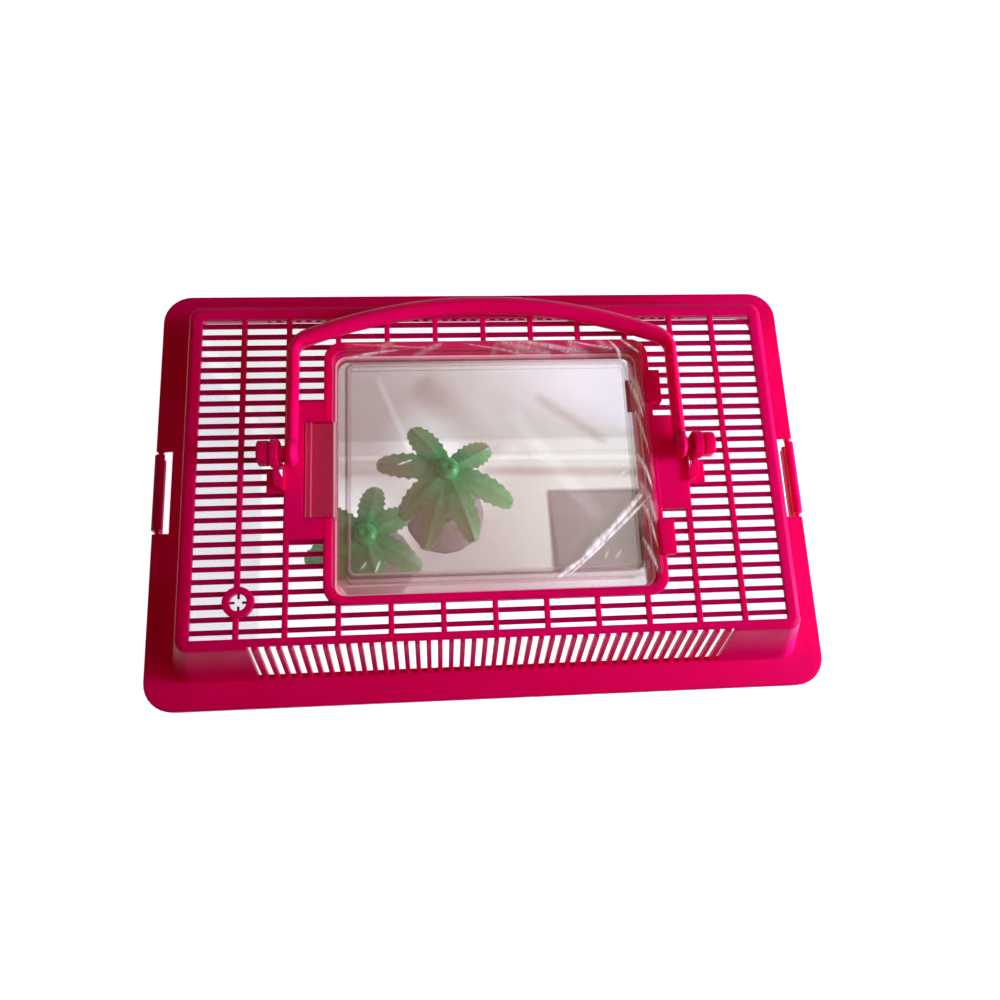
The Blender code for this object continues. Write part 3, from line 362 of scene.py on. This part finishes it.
def door_plastic():
    """Clear door: a warm haze with painted shade, denser and darker towards the hinge, a painted crimson
    glow on the tongue and the catch-side strip, painted shade along the panel's edge and the front
    border, and painted highlights along its borders.
    """
    look = Look("door_plastic_look")
    x, y = look.axes()[:2]
    drift = look.times(look.minus(look.noise(14.0, 2.0), 0.5), 0.05)
    lit_share = look.span(look.plus(x, look.times(y, 0.35), drift), -0.055, 0.060, smooth=True)
    plate = look.span(x, *PLATE_LEFT)
    tongue = look.span(x, *TONGUE_RIGHT, 1.0, 0.0)
    ledge_glow = look.span(x, *LEDGE_LEFT)
    border = look.times(look.span(y, *BORDER_BACK, 1.0, 0.0), plate)
    inner = border_distance(look, PANEL_CENTRE, PANEL_HALF, PANEL_CORNER)
    # Painted shade: a dark crimson line along the raised panel's edge.
    panel_edge_shade = line_at(look, inner, 0.0, 0.0009)
    light = door_light(look, plate, tongue, inner)
    # Painted shade and light: the tone runs from dark brown at the hinge to pale warm brown at the
    # catches.
    tone = look.mix(lit_share, rgb(0.40, 0.16, 0.12), rgb(0.72, 0.44, 0.24))
    # Painted shade: the front border strip is dulled towards a grey pink-brown.
    tone = look.mix(border, tone, rgb(0.70, 0.34, 0.32))
    tone = look.mix(panel_edge_shade, tone, rgb(0.26, 0.010, 0.045))
    # Painted glow: the tongue and the strip on the catch side take the crimson of lit pink plastic seen
    # through them.
    tone = look.mix(look.most(ledge_glow, tongue), tone, rgb(0.90, 0.004, 0.090))
    # Painted reflection: a dark grey-brown rectangle near the front right.
    tone = look.mix(look.times(dark_reflection_field(look), 0.75), tone, rgb(0.34, 0.22, 0.20))
    tone = look.mix(light, tone, look.mix(tongue, rgb(1.0, 0.72, 0.74), rgb(1.0, 0.22, 0.40)))
    veil = look.times(door_haze_and_shade(look, lit_share), plate)
    # The painted shade, glow and highlights also make the door more opaque where they lie.
    for share, density in (
        (panel_edge_shade, 0.26), (ledge_glow, 0.60), (tongue, 0.22), (border, 0.12), (light, 0.62),
    ):
        veil = look.plus(veil, look.times(share, density))
    look.set(Base_Color=tone, Alpha=look.math("ADD", veil, 0.015, clamp=True))
    look.set(Roughness=look.span(look.noise(90.0, 3.0), 0.3, 0.7, 0.08, 0.14))
    look.bump(look.noise(35.0, 2.0), 0.2, 0.0005)
    return look.material


# Film and palms

FILM_WHITE = rgb(1.0, 0.98, 0.98)


def film_plastic():
    """Thin clear film: nearly invisible where flat, whitened and shiny along its creases, with a painted
    glint there that glows by emission.
    """
    look = Look("film_plastic_look")
    fine = look.noise(420.0, 4.0, 0.7, look.stretched((1.0, 0.35, 1.0)))
    milky_and_glint = look.times(look.span(look.mark("crease"), 0.10, 0.80),
                       look.span(fine, 0.35, 0.6, 0.45, 1.0))
    body = look.span(look.facing(0.25), 0.15, 0.9, 0.03, 0.20)
    look.set(Base_Color=FILM_WHITE, Specular_IOR_Level=0.6)
    look.set(Alpha=look.math("ADD", body, look.times(milky_and_glint, 0.92), clamp=True))
    look.set(Roughness=look.span(fine, 0.3, 0.7, 0.04, 0.12))
    # Painted glow: the whitened creases and crumples emit faint white light in place of glints.
    look.set(Emission_Color=FILM_WHITE, Emission_Strength=look.times(milky_and_glint, 0.45))
    look.bump(look.noise(260.0, 3.0), 0.35, 0.0003)
    return look.material


def leaf_plastic():
    """Soft green plastic leaf: paler and thinner towards the tip, darker veins, a waxy shine."""
    look = Look("leaf_plastic_look")
    tip = look.mark("tip")
    mottle = look.noise(160.0, 3.0)
    tone = look.mix(look.span(tip, 0.0, 0.9), rgb(0.015, 0.56, 0.10), rgb(0.20, 0.92, 0.26))
    tone = look.mix(look.span(mottle, 0.4, 0.7, 0.0, 0.35), tone, rgb(0.30, 0.95, 0.32))
    tone = look.mix(look.times(look.mark("vein"), 0.45), tone, rgb(0.03, 0.50, 0.10))
    look.set(Base_Color=tone, Roughness=look.span(mottle, 0.3, 0.7, 0.22, 0.36))
    look.set(Alpha=look.span(tip, 0.0, 0.35, 0.97, 0.78))
    look.bump(look.noise(700.0, 2.0), 0.3, 0.0003)
    return look.material


def trunk_plastic():
    """Dark green moulded trunk with a fine upright grain."""
    look = Look("trunk_plastic_look")
    bark = look.noise(260.0, 5.0, 0.65, look.stretched((1.0, 1.0, 0.18)))
    tone = look.mix(look.span(bark, 0.35, 0.7), rgb(0.018, 0.12, 0.03), rgb(0.06, 0.26, 0.07))
    look.set(Base_Color=tone, Roughness=look.span(bark, 0.3, 0.7, 0.35, 0.55))
    look.bump(bark, 0.6, 0.0008)
    return look.material


def island_plastic():
    """Grey-beige moulded sand, speckled and slightly lumpy."""
    look = Look("island_plastic_look")
    lumps = look.noise(190.0, 5.0, 0.6)
    specks = look.node("TexVoronoi", [("Vector", look.place), ("Scale", 900.0)]).outputs["Distance"]
    tone = look.mix(look.span(lumps, 0.3, 0.7), rgb(0.36, 0.41, 0.30), rgb(0.50, 0.55, 0.42))
    tone = look.mix(look.span(specks, 0.10, 0.22, 0.55, 0.0), tone, rgb(0.34, 0.30, 0.28))
    look.set(Base_Color=tone, Roughness=look.span(lumps, 0.3, 0.7, 0.5, 0.7))
    look.bump(look.plus(lumps, look.times(specks, 0.4)), 0.7, 0.0010)
    return look.material


PINK = pink_plastic()
CLEAR = tank_plastic()
DOOR = door_plastic()
FILM = film_plastic()
LEAF = leaf_plastic()
TRUNK = trunk_plastic()
ISLAND = island_plastic()


# Mesh helpers

WELD_REACH = 0.00001


def new_piece(name, verts, faces, material):
    """Add a smooth-shaded mesh object with its faces turned outwards."""
    mesh = bpy.data.meshes.new(name)
    mesh.from_pydata(verts, [], faces)
    bm = bmesh.new()
    bm.from_mesh(mesh)
    bmesh.ops.recalc_face_normals(bm, faces=bm.faces[:])
    bm.to_mesh(mesh)
    bm.free()
    for polygon in mesh.polygons:
        polygon.use_smooth = True
    mesh.materials.append(material)
    piece = bpy.data.objects.new(name, mesh)
    bpy.context.scene.collection.objects.link(piece)
    return piece


def set_marks(piece, name, values):
    layer = piece.data.attributes.new(name, "FLOAT", "POINT")
    layer.data.foreach_set("value", values)


def tube_faces(ring_count, ring_size, closed_ring=True):
    """Quads between rings of equal size, in order."""
    faces = []
    last = ring_size if closed_ring else ring_size - 1
    for ring in range(ring_count - 1):
        start = ring * ring_size
        for index in range(last):
            low = start + index
            low_next = start + (index + 1) % ring_size
            faces.append((low, low_next, low_next + ring_size, low + ring_size))
    return faces


def end_caps(point_count, ring_size):
    """One face over the first ring and one over the last."""
    return [tuple(reversed(range(ring_size))), tuple(range(point_count - ring_size, point_count))]


def capped_rings(rings):
    """Vertices and faces of a closed solid through rings of equal size."""
    size = len(rings[0])
    verts = [point for ring in rings for point in ring]
    return verts, tube_faces(len(rings), size) + end_caps(len(verts), size)


def sharp_edges(piece, degrees):
    """Smooth shading, except across edges sharper than an angle."""
    bm = bmesh.new()
    bm.from_mesh(piece.data)
    for edge in bm.edges:
        edge.smooth = edge.calc_face_angle(0.0) < math.radians(degrees)
    bm.to_mesh(piece.data)
    bm.free()


def give(node, material):
    node.data.materials.clear()
    node.data.materials.append(material)


def round_edges(node, width, segments=2, degrees=35.0, smooth=True):
    """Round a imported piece's edges with modifiers, and light its flat faces as flat."""
    weld = node.modifiers.new("weld", "WELD")
    weld.merge_threshold = WELD_REACH
    bevel = node.modifiers.new("edges", "BEVEL")
    bevel.width = width
    bevel.segments = segments
    bevel.limit_method = "ANGLE"
    bevel.angle_limit = math.radians(degrees)
    bevel.use_clamp_overlap = False
    bevel.harden_normals = False
    if not smooth:
        return
    normals = node.modifiers.new("normals", "WEIGHTED_NORMAL")
    normals.weight = 100
    normals.keep_sharp = False
    for polygon in node.data.polygons:
        polygon.use_smooth = True


def arc(centre, radius, start, end, steps):
    points = []
    for step in range(steps + 1):
        angle = math.radians(start + (end - start) * step / steps)
        points.append((centre[0] + radius * math.cos(angle), centre[1] + radius * math.sin(angle)))
    return points


def circle(radius, steps):
    return arc((0.0, 0.0), radius, 0, 360, steps)[:-1]


# Handle

PIVOT_Y = 0.0041
PIVOT_Z = 0.2080
HANDLE_HALF = 0.0855
HANDLE_THICK = 0.0058
LEG_WIDTH = 0.0051
LEG_STEPS = 8
ARCH_REACH = 0.0758
ARCH_RADIUS = 0.209
ARCH_WIDTH = 0.0076
ARCH_STEPS = 48
CORNER_OUTER = 0.012
CORNER_INNER = 0.0045
CORNER_STEPS = 12
HANDLE_SECTION = (          # across from the inner to the outer edge, and up, as shares
    (0.07, 0.0), (0.0, 0.08), (0.0, 0.50), (0.05, 0.64), (0.22, 0.84), (0.42, 0.975), (0.5, 1.0),
    (0.58, 0.975), (0.78, 0.84), (0.95, 0.64), (1.0, 0.50), (1.0, 0.08), (0.93, 0.0),
)
KNUCKLE_RADIUS = 0.00595
KNUCKLE_NEAR = 0.08038
KNUCKLE_FAR = 0.08552
KNUCKLE_STEPS = 40
STUD_RADIUS = 0.0026
STUD_NEAR = 0.0830
STUD_FAR = 0.0926
STUD_ROUND = 0.0002
STUD_STEPS = 24
CAP_RADIUS = 0.0055
CAP_FLAT = 0.0046           # from the pivot to the cap's flat front
CAP_NEAR = 0.0921
CAP_FAR = 0.0969
CAP_ROUND = 0.0007
CAP_STEPS = 36
RIM_STEPS = (               # inset and depth of a rounded rim, as shares
    (1.0, 0.0), (0.45, 0.12), (0.12, 0.45), (0.0, 1.0),
)


def bail_edge(half, reach, corner):
    """One edge of the handle, from the right leg's end over the arch to the left leg's end."""
    centre_y = reach - ARCH_RADIUS
    corner_x = half - corner
    corner_y = centre_y + math.sqrt((ARCH_RADIUS - corner) ** 2 - corner_x ** 2)
    tilt = math.degrees(math.atan2(corner_y - centre_y, corner_x))
    leg = [(half, PIVOT_Y + (corner_y - PIVOT_Y) * step / LEG_STEPS) for step in range(LEG_STEPS)]
    right = leg + arc((corner_x, corner_y), corner, 0, tilt, CORNER_STEPS)
    arch = arc((0.0, centre_y), ARCH_RADIUS, tilt, 180 - tilt, ARCH_STEPS)[1:-1]
    return right + arch + [(-x, y) for x, y in reversed(right)]


def bail_piece():
    """Legs and arch, with a roof-shaped section."""
    outer = bail_edge(HANDLE_HALF, ARCH_REACH, CORNER_OUTER)
    inner = bail_edge(HANDLE_HALF - LEG_WIDTH, ARCH_REACH - ARCH_WIDTH, CORNER_INNER)
    rings = []
    for (outer_x, outer_y), (inner_x, inner_y) in zip(outer, inner):
        rings.append([
            (inner_x + (outer_x - inner_x) * across, inner_y + (outer_y - inner_y) * across,
             PIVOT_Z + (up - 0.5) * HANDLE_THICK)
            for across, up in HANDLE_SECTION
        ])
    return capped_rings(rings)


def rounded_disc(outline, near, far, edge):
    """Solid of an outline about the pivot, from one X to another, with rounded rims."""
    reach = max(math.hypot(y, z) for y, z in outline)
    side = 1 if far > near else -1
    rings = []
    for start, inwards, steps in ((near, side, RIM_STEPS), (far, -side, reversed(RIM_STEPS))):
        for inset, depth in steps:
            share = 1 - inset * edge / reach
            x = start + inwards * depth * edge
            rings.append([(x, PIVOT_Y + y * share, PIVOT_Z + z * share) for y, z in outline])
    return capped_rings(rings)


def roofed_disc(near, far):
    """The leg's end around the pivot, with the leg's own roof-shaped section across it."""
    rings = []
    for across, up in HANDLE_SECTION[2:-2]:
        x = near + (far - near) * across
        radius = KNUCKLE_RADIUS - (1 - up) * HANDLE_THICK
        rings.append([(x, PIVOT_Y + y, PIVOT_Z + z) for y, z in circle(radius, KNUCKLE_STEPS)])
    return capped_rings(rings)


def merge(parts):
    verts = []
    faces = []
    for part_verts, part_faces in parts:
        start = len(verts)
        verts += part_verts
        faces += [tuple(start + index for index in face) for face in part_faces]
    return verts, faces


def make_handle():
    """Carrying handle with a roof-shaped section, round knuckles, studs and flat-fronted caps."""
    parts = [bail_piece()]
    stud = circle(STUD_RADIUS, STUD_STEPS)
    flat = 180 - math.degrees(math.acos(CAP_FLAT / CAP_RADIUS))
    cap = arc((0.0, 0.0), CAP_RADIUS, -flat, flat, CAP_STEPS)
    for side in (1, -1):
        parts.append(roofed_disc(side * KNUCKLE_NEAR, side * KNUCKLE_FAR))
        parts.append(rounded_disc(stud, side * STUD_NEAR, side * STUD_FAR, STUD_ROUND))
        parts.append(rounded_disc(cap, side * CAP_NEAR, side * CAP_FAR, CAP_ROUND))
    verts, faces = merge(parts)
    handle = new_piece("handle_moulded", verts, faces, PINK)
    sharp_edges(handle, 50.0)
    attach(handle, "handle")
    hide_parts("handle")


# Palm crowns

PALMS = (                    # node, place, underside; angle in degrees, length and droop of each frond
    ("palm_1_crown", (-0.0157, 0.0282), 0.1003,
     ((30, 0.028, 0.004), (127, 0.032, 0.004), (171, 0.039, 0.005), (222, 0.035, 0.012),
      (252, 0.043, 0.014), (290, 0.041, 0.008), (334, 0.040, 0.010))),
    ("palm_2_crown", (-0.0612, -0.0028), 0.0843,
     ((30, 0.028, 0.008), (78, 0.029, 0.005), (150, 0.030, 0.006), (201, 0.036, 0.008),
      (243, 0.030, 0.012), (283, 0.029, 0.008), (328, 0.035, 0.010))),
)
HUB_RADIUS = 0.0064
HUB_HEIGHT = 0.0085
HUB_STEPS = 28
HUB_LEVELS = (               # radius and height of each ring, over a dished top
    (0.0060, 0.0002), (HUB_RADIUS, 0.0008), (HUB_RADIUS, 0.0048), (0.0060, 0.0062), (0.0046, 0.0076),
    (0.0034, 0.0083), (0.0022, HUB_HEIGHT), (0.0014, 0.0080), (0.0004, 0.0076),
)
ROOT_LEVELS = (0.27, 0.39)   # of alternate fronds, as shares of the hub's height
FROND_HALF = 0.0076
FROND_NARROW = 0.24          # the root's half width as a share of the widest
FROND_ROOT = 0.0030
FROND_THICK = 0.0009
FROND_TEETH = 7
FROND_ALONG = 56
FROND_ACROSS = 12
TOOTH_DEPTH = 0.16
TIP_START = 0.95             # from here on, the blade's tip is round
TOOTH_SWEEP = 0.0030         # how far the blade's edges lead its middle
FOLD_DROP = 0.0022           # from the blade's middle to its edges
RIDGE_HEIGHT = 0.00035       # of the middle rib
RIDGE_WIDTH = 0.12           # as a share of the half width
RIDGE_DARK = 0.10            # the width of its darker tone
VEIN_HEIGHT = 0.00018
VEIN_SLANT = 0.10            # how far the side veins lean, as a share of the length


def frond_half(share):
    """Half width of a serrated blade at a share of its length."""
    swell = math.sin(math.pi * (0.12 + 0.83 * share)) ** 0.75
    tooth = (share * FROND_TEETH) % 1.0
    notch = 1.0 - TOOTH_DEPTH * (1 - abs(2 * tooth - 1.15)) * min(1.0, share * 4)
    half = FROND_HALF * (FROND_NARROW + (1 - FROND_NARROW) * swell) * notch
    if share > TIP_START:
        half *= math.sqrt(max(0.02, 1 - ((share - TIP_START) / (1 - TIP_START)) ** 2))
    return half


def frond_grid(length, droop, root_z, turn):
    """Folded, drooping blade: its top surface, with how far out and how near a vein each point is."""
    rows = []
    for step in range(FROND_ALONG + 1):
        share = step / FROND_ALONG
        half = frond_half(share)
        row = []
        for index in range(FROND_ACROSS + 1):
            side = 2 * index / FROND_ACROSS - 1
            sweep = TOOTH_SWEEP * abs(side) * (1 - share) * share * 2
            x = FROND_ROOT + (length - FROND_ROOT) * share + sweep
            y = side * half
            phase = (share - VEIN_SLANT * abs(side)) * FROND_TEETH * 2
            vein = max(0.0, 1 - abs((phase % 1.0) - 0.5) * 5) * (1 - abs(side)) * min(1.0, share * 5)
            z = root_z + droop * 0.35 * share - droop * 1.35 * share ** 2
            z -= FOLD_DROP * abs(side) * (1 + 2 * share) / 3
            z += RIDGE_HEIGHT * math.exp(-(side / RIDGE_WIDTH) ** 2) + VEIN_HEIGHT * vein
            dark = max(math.exp(-(side / RIDGE_DARK) ** 2), vein)
            turned_x = x * math.cos(turn) - y * math.sin(turn)
            turned_y = x * math.sin(turn) + y * math.cos(turn)
            row.append(((turned_x, turned_y, z), share, dark))
        rows.append(row)
    return rows


def frond_solid(rows):
    """Close a blade with a lower face, and keep the marks of each point."""
    ring_size = 2 * len(rows[0])
    verts = []
    marks = []
    for row in rows:
        for (x, y, z), share, dark in row:
            verts.append((x, y, z))
            marks.append((share, dark))
        for (x, y, z), share, dark in reversed(row):
            verts.append((x, y, z - FROND_THICK))
            marks.append((share, dark))
    faces = tube_faces(len(rows), ring_size) + end_caps(len(verts), ring_size)
    return verts, faces, marks


def hub_solid():
    rings = [[(x, y, z) for x, y in circle(radius, HUB_STEPS)] for radius, z in HUB_LEVELS]
    verts, faces = capped_rings(rings)
    return verts, faces, [(0.0, 0.5)] * len(verts)


def make_crown(node, place, under, fronds):
    """Palm crown: a cupped hub with serrated leaves around it."""
    solids = [hub_solid()]
    for index, (angle, length, droop) in enumerate(fronds):
        root = HUB_HEIGHT * ROOT_LEVELS[index % 2]
        rows = frond_grid(length, droop, root + FROND_THICK, math.radians(angle))
        solids.append(frond_solid(rows))
    verts, faces = merge([solid[:2] for solid in solids])
    verts = [(x + place[0], y + place[1], z + under) for x, y, z in verts]
    marks = [mark for solid in solids for mark in solid[2]]
    crown = new_piece(node + "_leaves", verts, faces, LEAF)
    set_marks(crown, "tip", [share for share, dark in marks])
    set_marks(crown, "vein", [dark for share, dark in marks])
    sharp_edges(crown, 60.0)
    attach(crown, "tank")
    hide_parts(node)


# Protective film

PANEL_TOP = 0.1962
RIM_TOP = 0.2015
FILM_LIFT = 0.0005
FILM_LEFT = -0.0614
FILM_RIGHT = 0.0716
FILM_FRONT = -0.0508
FILM_BACK = 0.0574
FILM_COLUMNS = 230
FILM_ROWS = 190
PANEL_RIGHT = 0.0649
PANEL_BACK = 0.0485
CREST_RIGHT = 0.0682
CREST_BACK = 0.0519
WAVE_RISE = 0.00022          # of the film's soft waves
CRUMPLE_RISE = 0.00045       # of the crumples where it climbs the rim
# whiteness of the crumples where the film climbs the rim, partly painted glint
CRUMPLE_GLINT = 0.34
FILM_CREASES = (             # start, end, half width, height, and whiteness, which is partly the film's whitening and partly painted glint
    ((0.0265, -0.0507), (0.0399, -0.0413), 0.0015, 0.0013, 1.0),
    ((0.0380, -0.0425), (0.0530, -0.0285), 0.0024, 0.0016, 1.0),
    ((0.0500, -0.0312), (0.0672, -0.0140), 0.0019, 0.0014, 1.0),
    ((0.0305, -0.0507), (0.0500, -0.0345), 0.0008, 0.0012, 0.9),
    ((0.0480, -0.0358), (0.0690, -0.0165), 0.0011, 0.0012, 1.0),
    ((0.0480, -0.0350), (0.0670, -0.0120), 0.0009, 0.0010, 0.8),
    ((0.0109, 0.0251), (0.0198, 0.0001), 0.0012, 0.0005, 0.22),
    ((0.0198, 0.0001), (0.0477, -0.0247), 0.0012, 0.0006, 0.30),
    ((0.0083, 0.0190), (0.0183, -0.0022), 0.0010, 0.0004, 0.16),
    ((-0.0473, 0.0423), (-0.0338, 0.0082), 0.0018, 0.0006, 0.20),
    ((0.0483, 0.0125), (0.0535, 0.0096), 0.0007, 0.0006, 0.8),
    ((0.0543, -0.0077), (0.0639, -0.0010), 0.0006, 0.0005, 0.7),
    ((0.0475, -0.0433), (0.0500, -0.0385), 0.0010, 0.0006, 0.55),
    ((0.0520, -0.0430), (0.0560, -0.0385), 0.0009, 0.0006, 0.55),
    ((-0.0614, 0.0500), (-0.0372, 0.0530), 0.0008, 0.0006, 0.6),
    ((-0.0614, 0.0560), (-0.0200, 0.0535), 0.0007, 0.0006, 0.45),
    ((-0.0100, 0.0560), (0.0200, 0.0500), 0.0008, 0.0006, 0.45),
    ((0.0150, 0.0565), (0.0420, 0.0500), 0.0008, 0.0006, 0.45),
    ((0.0350, 0.0570), (0.0587, 0.0520), 0.0007, 0.0006, 0.6),
    ((0.0560, 0.0570), (0.0660, 0.0440), 0.0008, 0.0008, 0.9),
    ((0.0610, 0.0574), (0.0700, 0.0500), 0.0007, 0.0008, 0.9),
    ((0.0650, 0.0400), (0.0690, 0.0180), 0.0008, 0.0008, 0.7),
    ((0.0660, 0.0250), (0.0700, 0.0020), 0.0007, 0.0008, 0.7),
    ((0.0655, 0.0050), (0.0700, -0.0140), 0.0008, 0.0008, 0.8),
    ((0.0660, -0.0180), (0.0700, -0.0400), 0.0008, 0.0008, 0.8),
    ((0.0650, -0.0330), (0.0690, -0.0500), 0.0008, 0.0008, 0.8),
    ((0.0040, 0.0572), (0.0310, 0.0500), 0.0042, 0.0008, 0.34),
    ((0.0120, 0.0574), (0.0420, 0.0515), 0.0018, 0.0008, 0.50),
    ((-0.0330, 0.0495), (-0.0180, 0.0560), 0.0022, 0.0006, 0.32),
    ((0.0640, 0.0480), (0.0700, 0.0220), 0.0020, 0.0008, 0.40),
    ((0.0655, -0.0080), (0.0705, -0.0300), 0.0022, 0.0008, 0.45),
    ((-0.0560, -0.0446), (-0.0528, -0.0408), 0.0008, 0.0005, 0.6),
    ((-0.0495, -0.0458), (-0.0472, -0.0400), 0.0008, 0.0005, 0.7),
    ((-0.0400, 0.0012), (-0.0328, 0.0037), 0.0008, 0.0005, 0.8),
    ((-0.0137, -0.0490), (-0.0136, -0.0445), 0.0004, 0.0004, 0.6),
)


def clamp(value):
    return min(1.0, max(0.0, value))


def ripple(x, y, scale_x, scale_y, layer):
    """Smooth noise over the door; each layer is a pattern of its own."""
    return noise.noise(Vector((x * scale_x, y * scale_y, layer)))


def crease_at(x, y):
    """Height and whiteness of the film's creases at a point; the whiteness is partly painted glint."""
    height = 0.0
    white = 0.0
    for start, end, half, rise, bright in FILM_CREASES:
        dx = end[0] - start[0]
        dy = end[1] - start[1]
        length = math.hypot(dx, dy)
        along = ((x - start[0]) * dx + (y - start[1]) * dy) / length ** 2
        across = abs((x - start[0]) * dy - (y - start[1]) * dx) / length
        ends = clamp(min(along + 0.06, 1.06 - along) / 0.18)
        wide = half * (0.55 + 0.6 * math.sin(math.pi * clamp(along)))
        if ends > 0.0 and across < 3 * wide:
            height = max(height, rise * max(0.0, 1 - across / (1.8 * wide)) * ends)
            white = max(white, bright * ends * max(0.0, 1 - across / wide))
    return height, white


def film_point(x, y):
    """Height and whiteness of the loose film over a point of the door; the whiteness is partly painted
    glint.
    """
    share_x = (x - PANEL_RIGHT) / (CREST_RIGHT - PANEL_RIGHT)
    share_y = (y - PANEL_BACK) / (CREST_BACK - PANEL_BACK)
    climb = clamp(max(share_x, share_y))
    base = PANEL_TOP + FILM_LIFT + (RIM_TOP - PANEL_TOP) * climb * climb * (3 - 2 * climb)
    height, white = crease_at(x, y)
    soft = ripple(x, y, 28, 28, 3.1) + 0.5 * ripple(x, y, 75, 60, 8.4)
    crumple = max(0.0, 1 - abs(ripple(x, y, 95, 70, 1.7)) * 2)
    border = min(1.0, climb * 1.2)
    height += WAVE_RISE * (soft + 1) + CRUMPLE_RISE * crumple * border
    patch = clamp(2.2 * ripple(x, y, 55, 55, 5.2) + 0.25)
    white = max(white, CRUMPLE_GLINT * border * patch * max(0.0, crumple - 0.25) / 0.75)
    return base + height, white


def make_film():
    """The crinkled film that lies on the door and climbs its rim at the back and on the right."""
    verts = []
    whites = []
    for row in range(FILM_ROWS + 1):
        for column in range(FILM_COLUMNS + 1):
            x = FILM_LEFT + (FILM_RIGHT - FILM_LEFT) * column / FILM_COLUMNS
            y = FILM_FRONT + (FILM_BACK - FILM_FRONT) * row / FILM_ROWS
            z, white = film_point(x, y)
            verts.append((x, y, z))
            whites.append(white)
    film = new_piece("crinkled_film", verts, tube_faces(FILM_ROWS + 1, FILM_COLUMNS + 1, False), FILM)
    set_marks(film, "crease", whites)
    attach(film, "door")
    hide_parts("protective_film")


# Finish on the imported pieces

LID_ROUND = 0.0002
TANK_ROUND = 0.0006
DOOR_ROUND = 0.00025
TRUNK_ROUND = 0.0003
ISLAND_ROUND = 0.0008


def dress_nodes():
    for name in ("lid_shell", "latch_left", "latch_right"):
        give(nodes[name], PINK)
        round_edges(nodes[name], LID_ROUND)
    give(nodes["tank"], CLEAR)
    round_edges(nodes["tank"], TANK_ROUND)
    give(nodes["hatch_door"], DOOR)
    round_edges(nodes["hatch_door"], DOOR_ROUND, smooth=False)
    for number in (1, 2):
        give(nodes[f"palm_{number}_trunk"], TRUNK)
        round_edges(nodes[f"palm_{number}_trunk"], TRUNK_ROUND, degrees=20.0)
        give(nodes[f"palm_{number}_base"], ISLAND)
        round_edges(nodes[f"palm_{number}_base"], ISLAND_ROUND, segments=3)


# Stage and light

FLOOR_SIZE = 8.0
FLOOR_TONES = (rgb(0.52, 0.52, 0.52), rgb(0.55, 0.55, 0.55))
FLOOR_GLOW = 0.96
AMBIENT_COLOUR = rgb(1.0, 0.66, 0.25)
AMBIENT_STRENGTH = 0.095
LIGHTS = (                   # name, place, aim, size, power, colour, and whether it is seen
    ("key", (0.67, -0.09, 0.47), (0, 0, 0.2), (0.24, 0.20), 4.15, (1.0, 0.95, 1.48), True),
    ("side", (0.62, -0.12, 0.17), (0, 0, 0.12), (0.26, 0.14), 2.35, (1.0, 0.95, 1.50), True),
    ("fill", (1.05, -0.30, 1.60), (0, 0, 0.2), (0.70, 0.70), 5.0, (1.0, 0.85, 0.70), True),
    ("bounce", (-0.035, -0.010, 0.300), (0.09, 0.0, 0.18), (0.05, 0.09), 0.032, (1.0, 0.90, 0.80), False),
)


def background_rays(tree):
    """1 for camera, transmission and glossy rays, which meet a white background, else 0."""
    path = tree.nodes.new("ShaderNodeLightPath")
    seen = path.outputs["Is Camera Ray"]
    for name in ("Is Transmission Ray", "Is Glossy Ray"):
        larger = tree.nodes.new("ShaderNodeMath")
        larger.operation = "MAXIMUM"
        tree.links.new(seen, larger.inputs[0])
        tree.links.new(path.outputs[name], larger.inputs[1])
        seen = larger.outputs[0]
    return seen


def make_stage():
    """Plain floor: white to the camera, with the object's soft shadow kept."""
    bpy.ops.mesh.primitive_plane_add(size=FLOOR_SIZE)
    floor = bpy.context.object
    floor.name = "floor"
    look = Look("floor_white")
    look.set(Base_Color=look.mix(look.noise(6.0, 3.0), *FLOOR_TONES), Roughness=0.9)
    look.set(Specular_IOR_Level=0.0)
    glow = look.node("Emission", [("Strength", look.times(background_rays(look.tree), FLOOR_GLOW))])
    total = look.node("AddShader", [(0, look.shader.outputs[0]), (1, glow.outputs[0])])
    look.tree.links.new(total.outputs[0], look.tree.nodes["Material Output"].inputs["Surface"])
    floor.data.materials.append(look.material)


def make_world():
    """Faint warm light from all sides, and white for what is seen."""
    world = bpy.data.worlds.new("studio")
    bpy.context.scene.world = world
    world.use_nodes = True
    tree = world.node_tree
    ambient = tree.nodes["Background"]
    ambient.inputs["Color"].default_value = AMBIENT_COLOUR
    ambient.inputs["Strength"].default_value = AMBIENT_STRENGTH
    white = tree.nodes.new("ShaderNodeBackground")
    white.inputs["Color"].default_value = rgb(1.0, 1.0, 1.0)
    mix = tree.nodes.new("ShaderNodeMixShader")
    tree.links.new(background_rays(tree), mix.inputs[0])
    tree.links.new(ambient.outputs[0], mix.inputs[1])
    tree.links.new(white.outputs[0], mix.inputs[2])
    tree.links.new(mix.outputs[0], tree.nodes["World Output"].inputs["Surface"])


def area_light(name, place, target, size, power, colour, seen):
    data = bpy.data.lights.new(name, "AREA")
    data.shape = "RECTANGLE"
    data.size, data.size_y = size
    data.energy = power
    data.color = colour
    light = bpy.data.objects.new(name, data)
    bpy.context.scene.collection.objects.link(light)
    light.visible_camera = seen
    light.visible_glossy = seen
    light.location = place
    light.rotation_euler = (Vector(target) - Vector(place)).to_track_quat("-Z", "Y").to_euler()


make_camera()
make_stage()
make_world()
for light in LIGHTS:
    area_light(*light)
make_handle()
make_film()
for palm in PALMS:
    make_crown(*palm)
dress_nodes()

scene = bpy.context.scene
scene.view_settings.view_transform = "Standard"
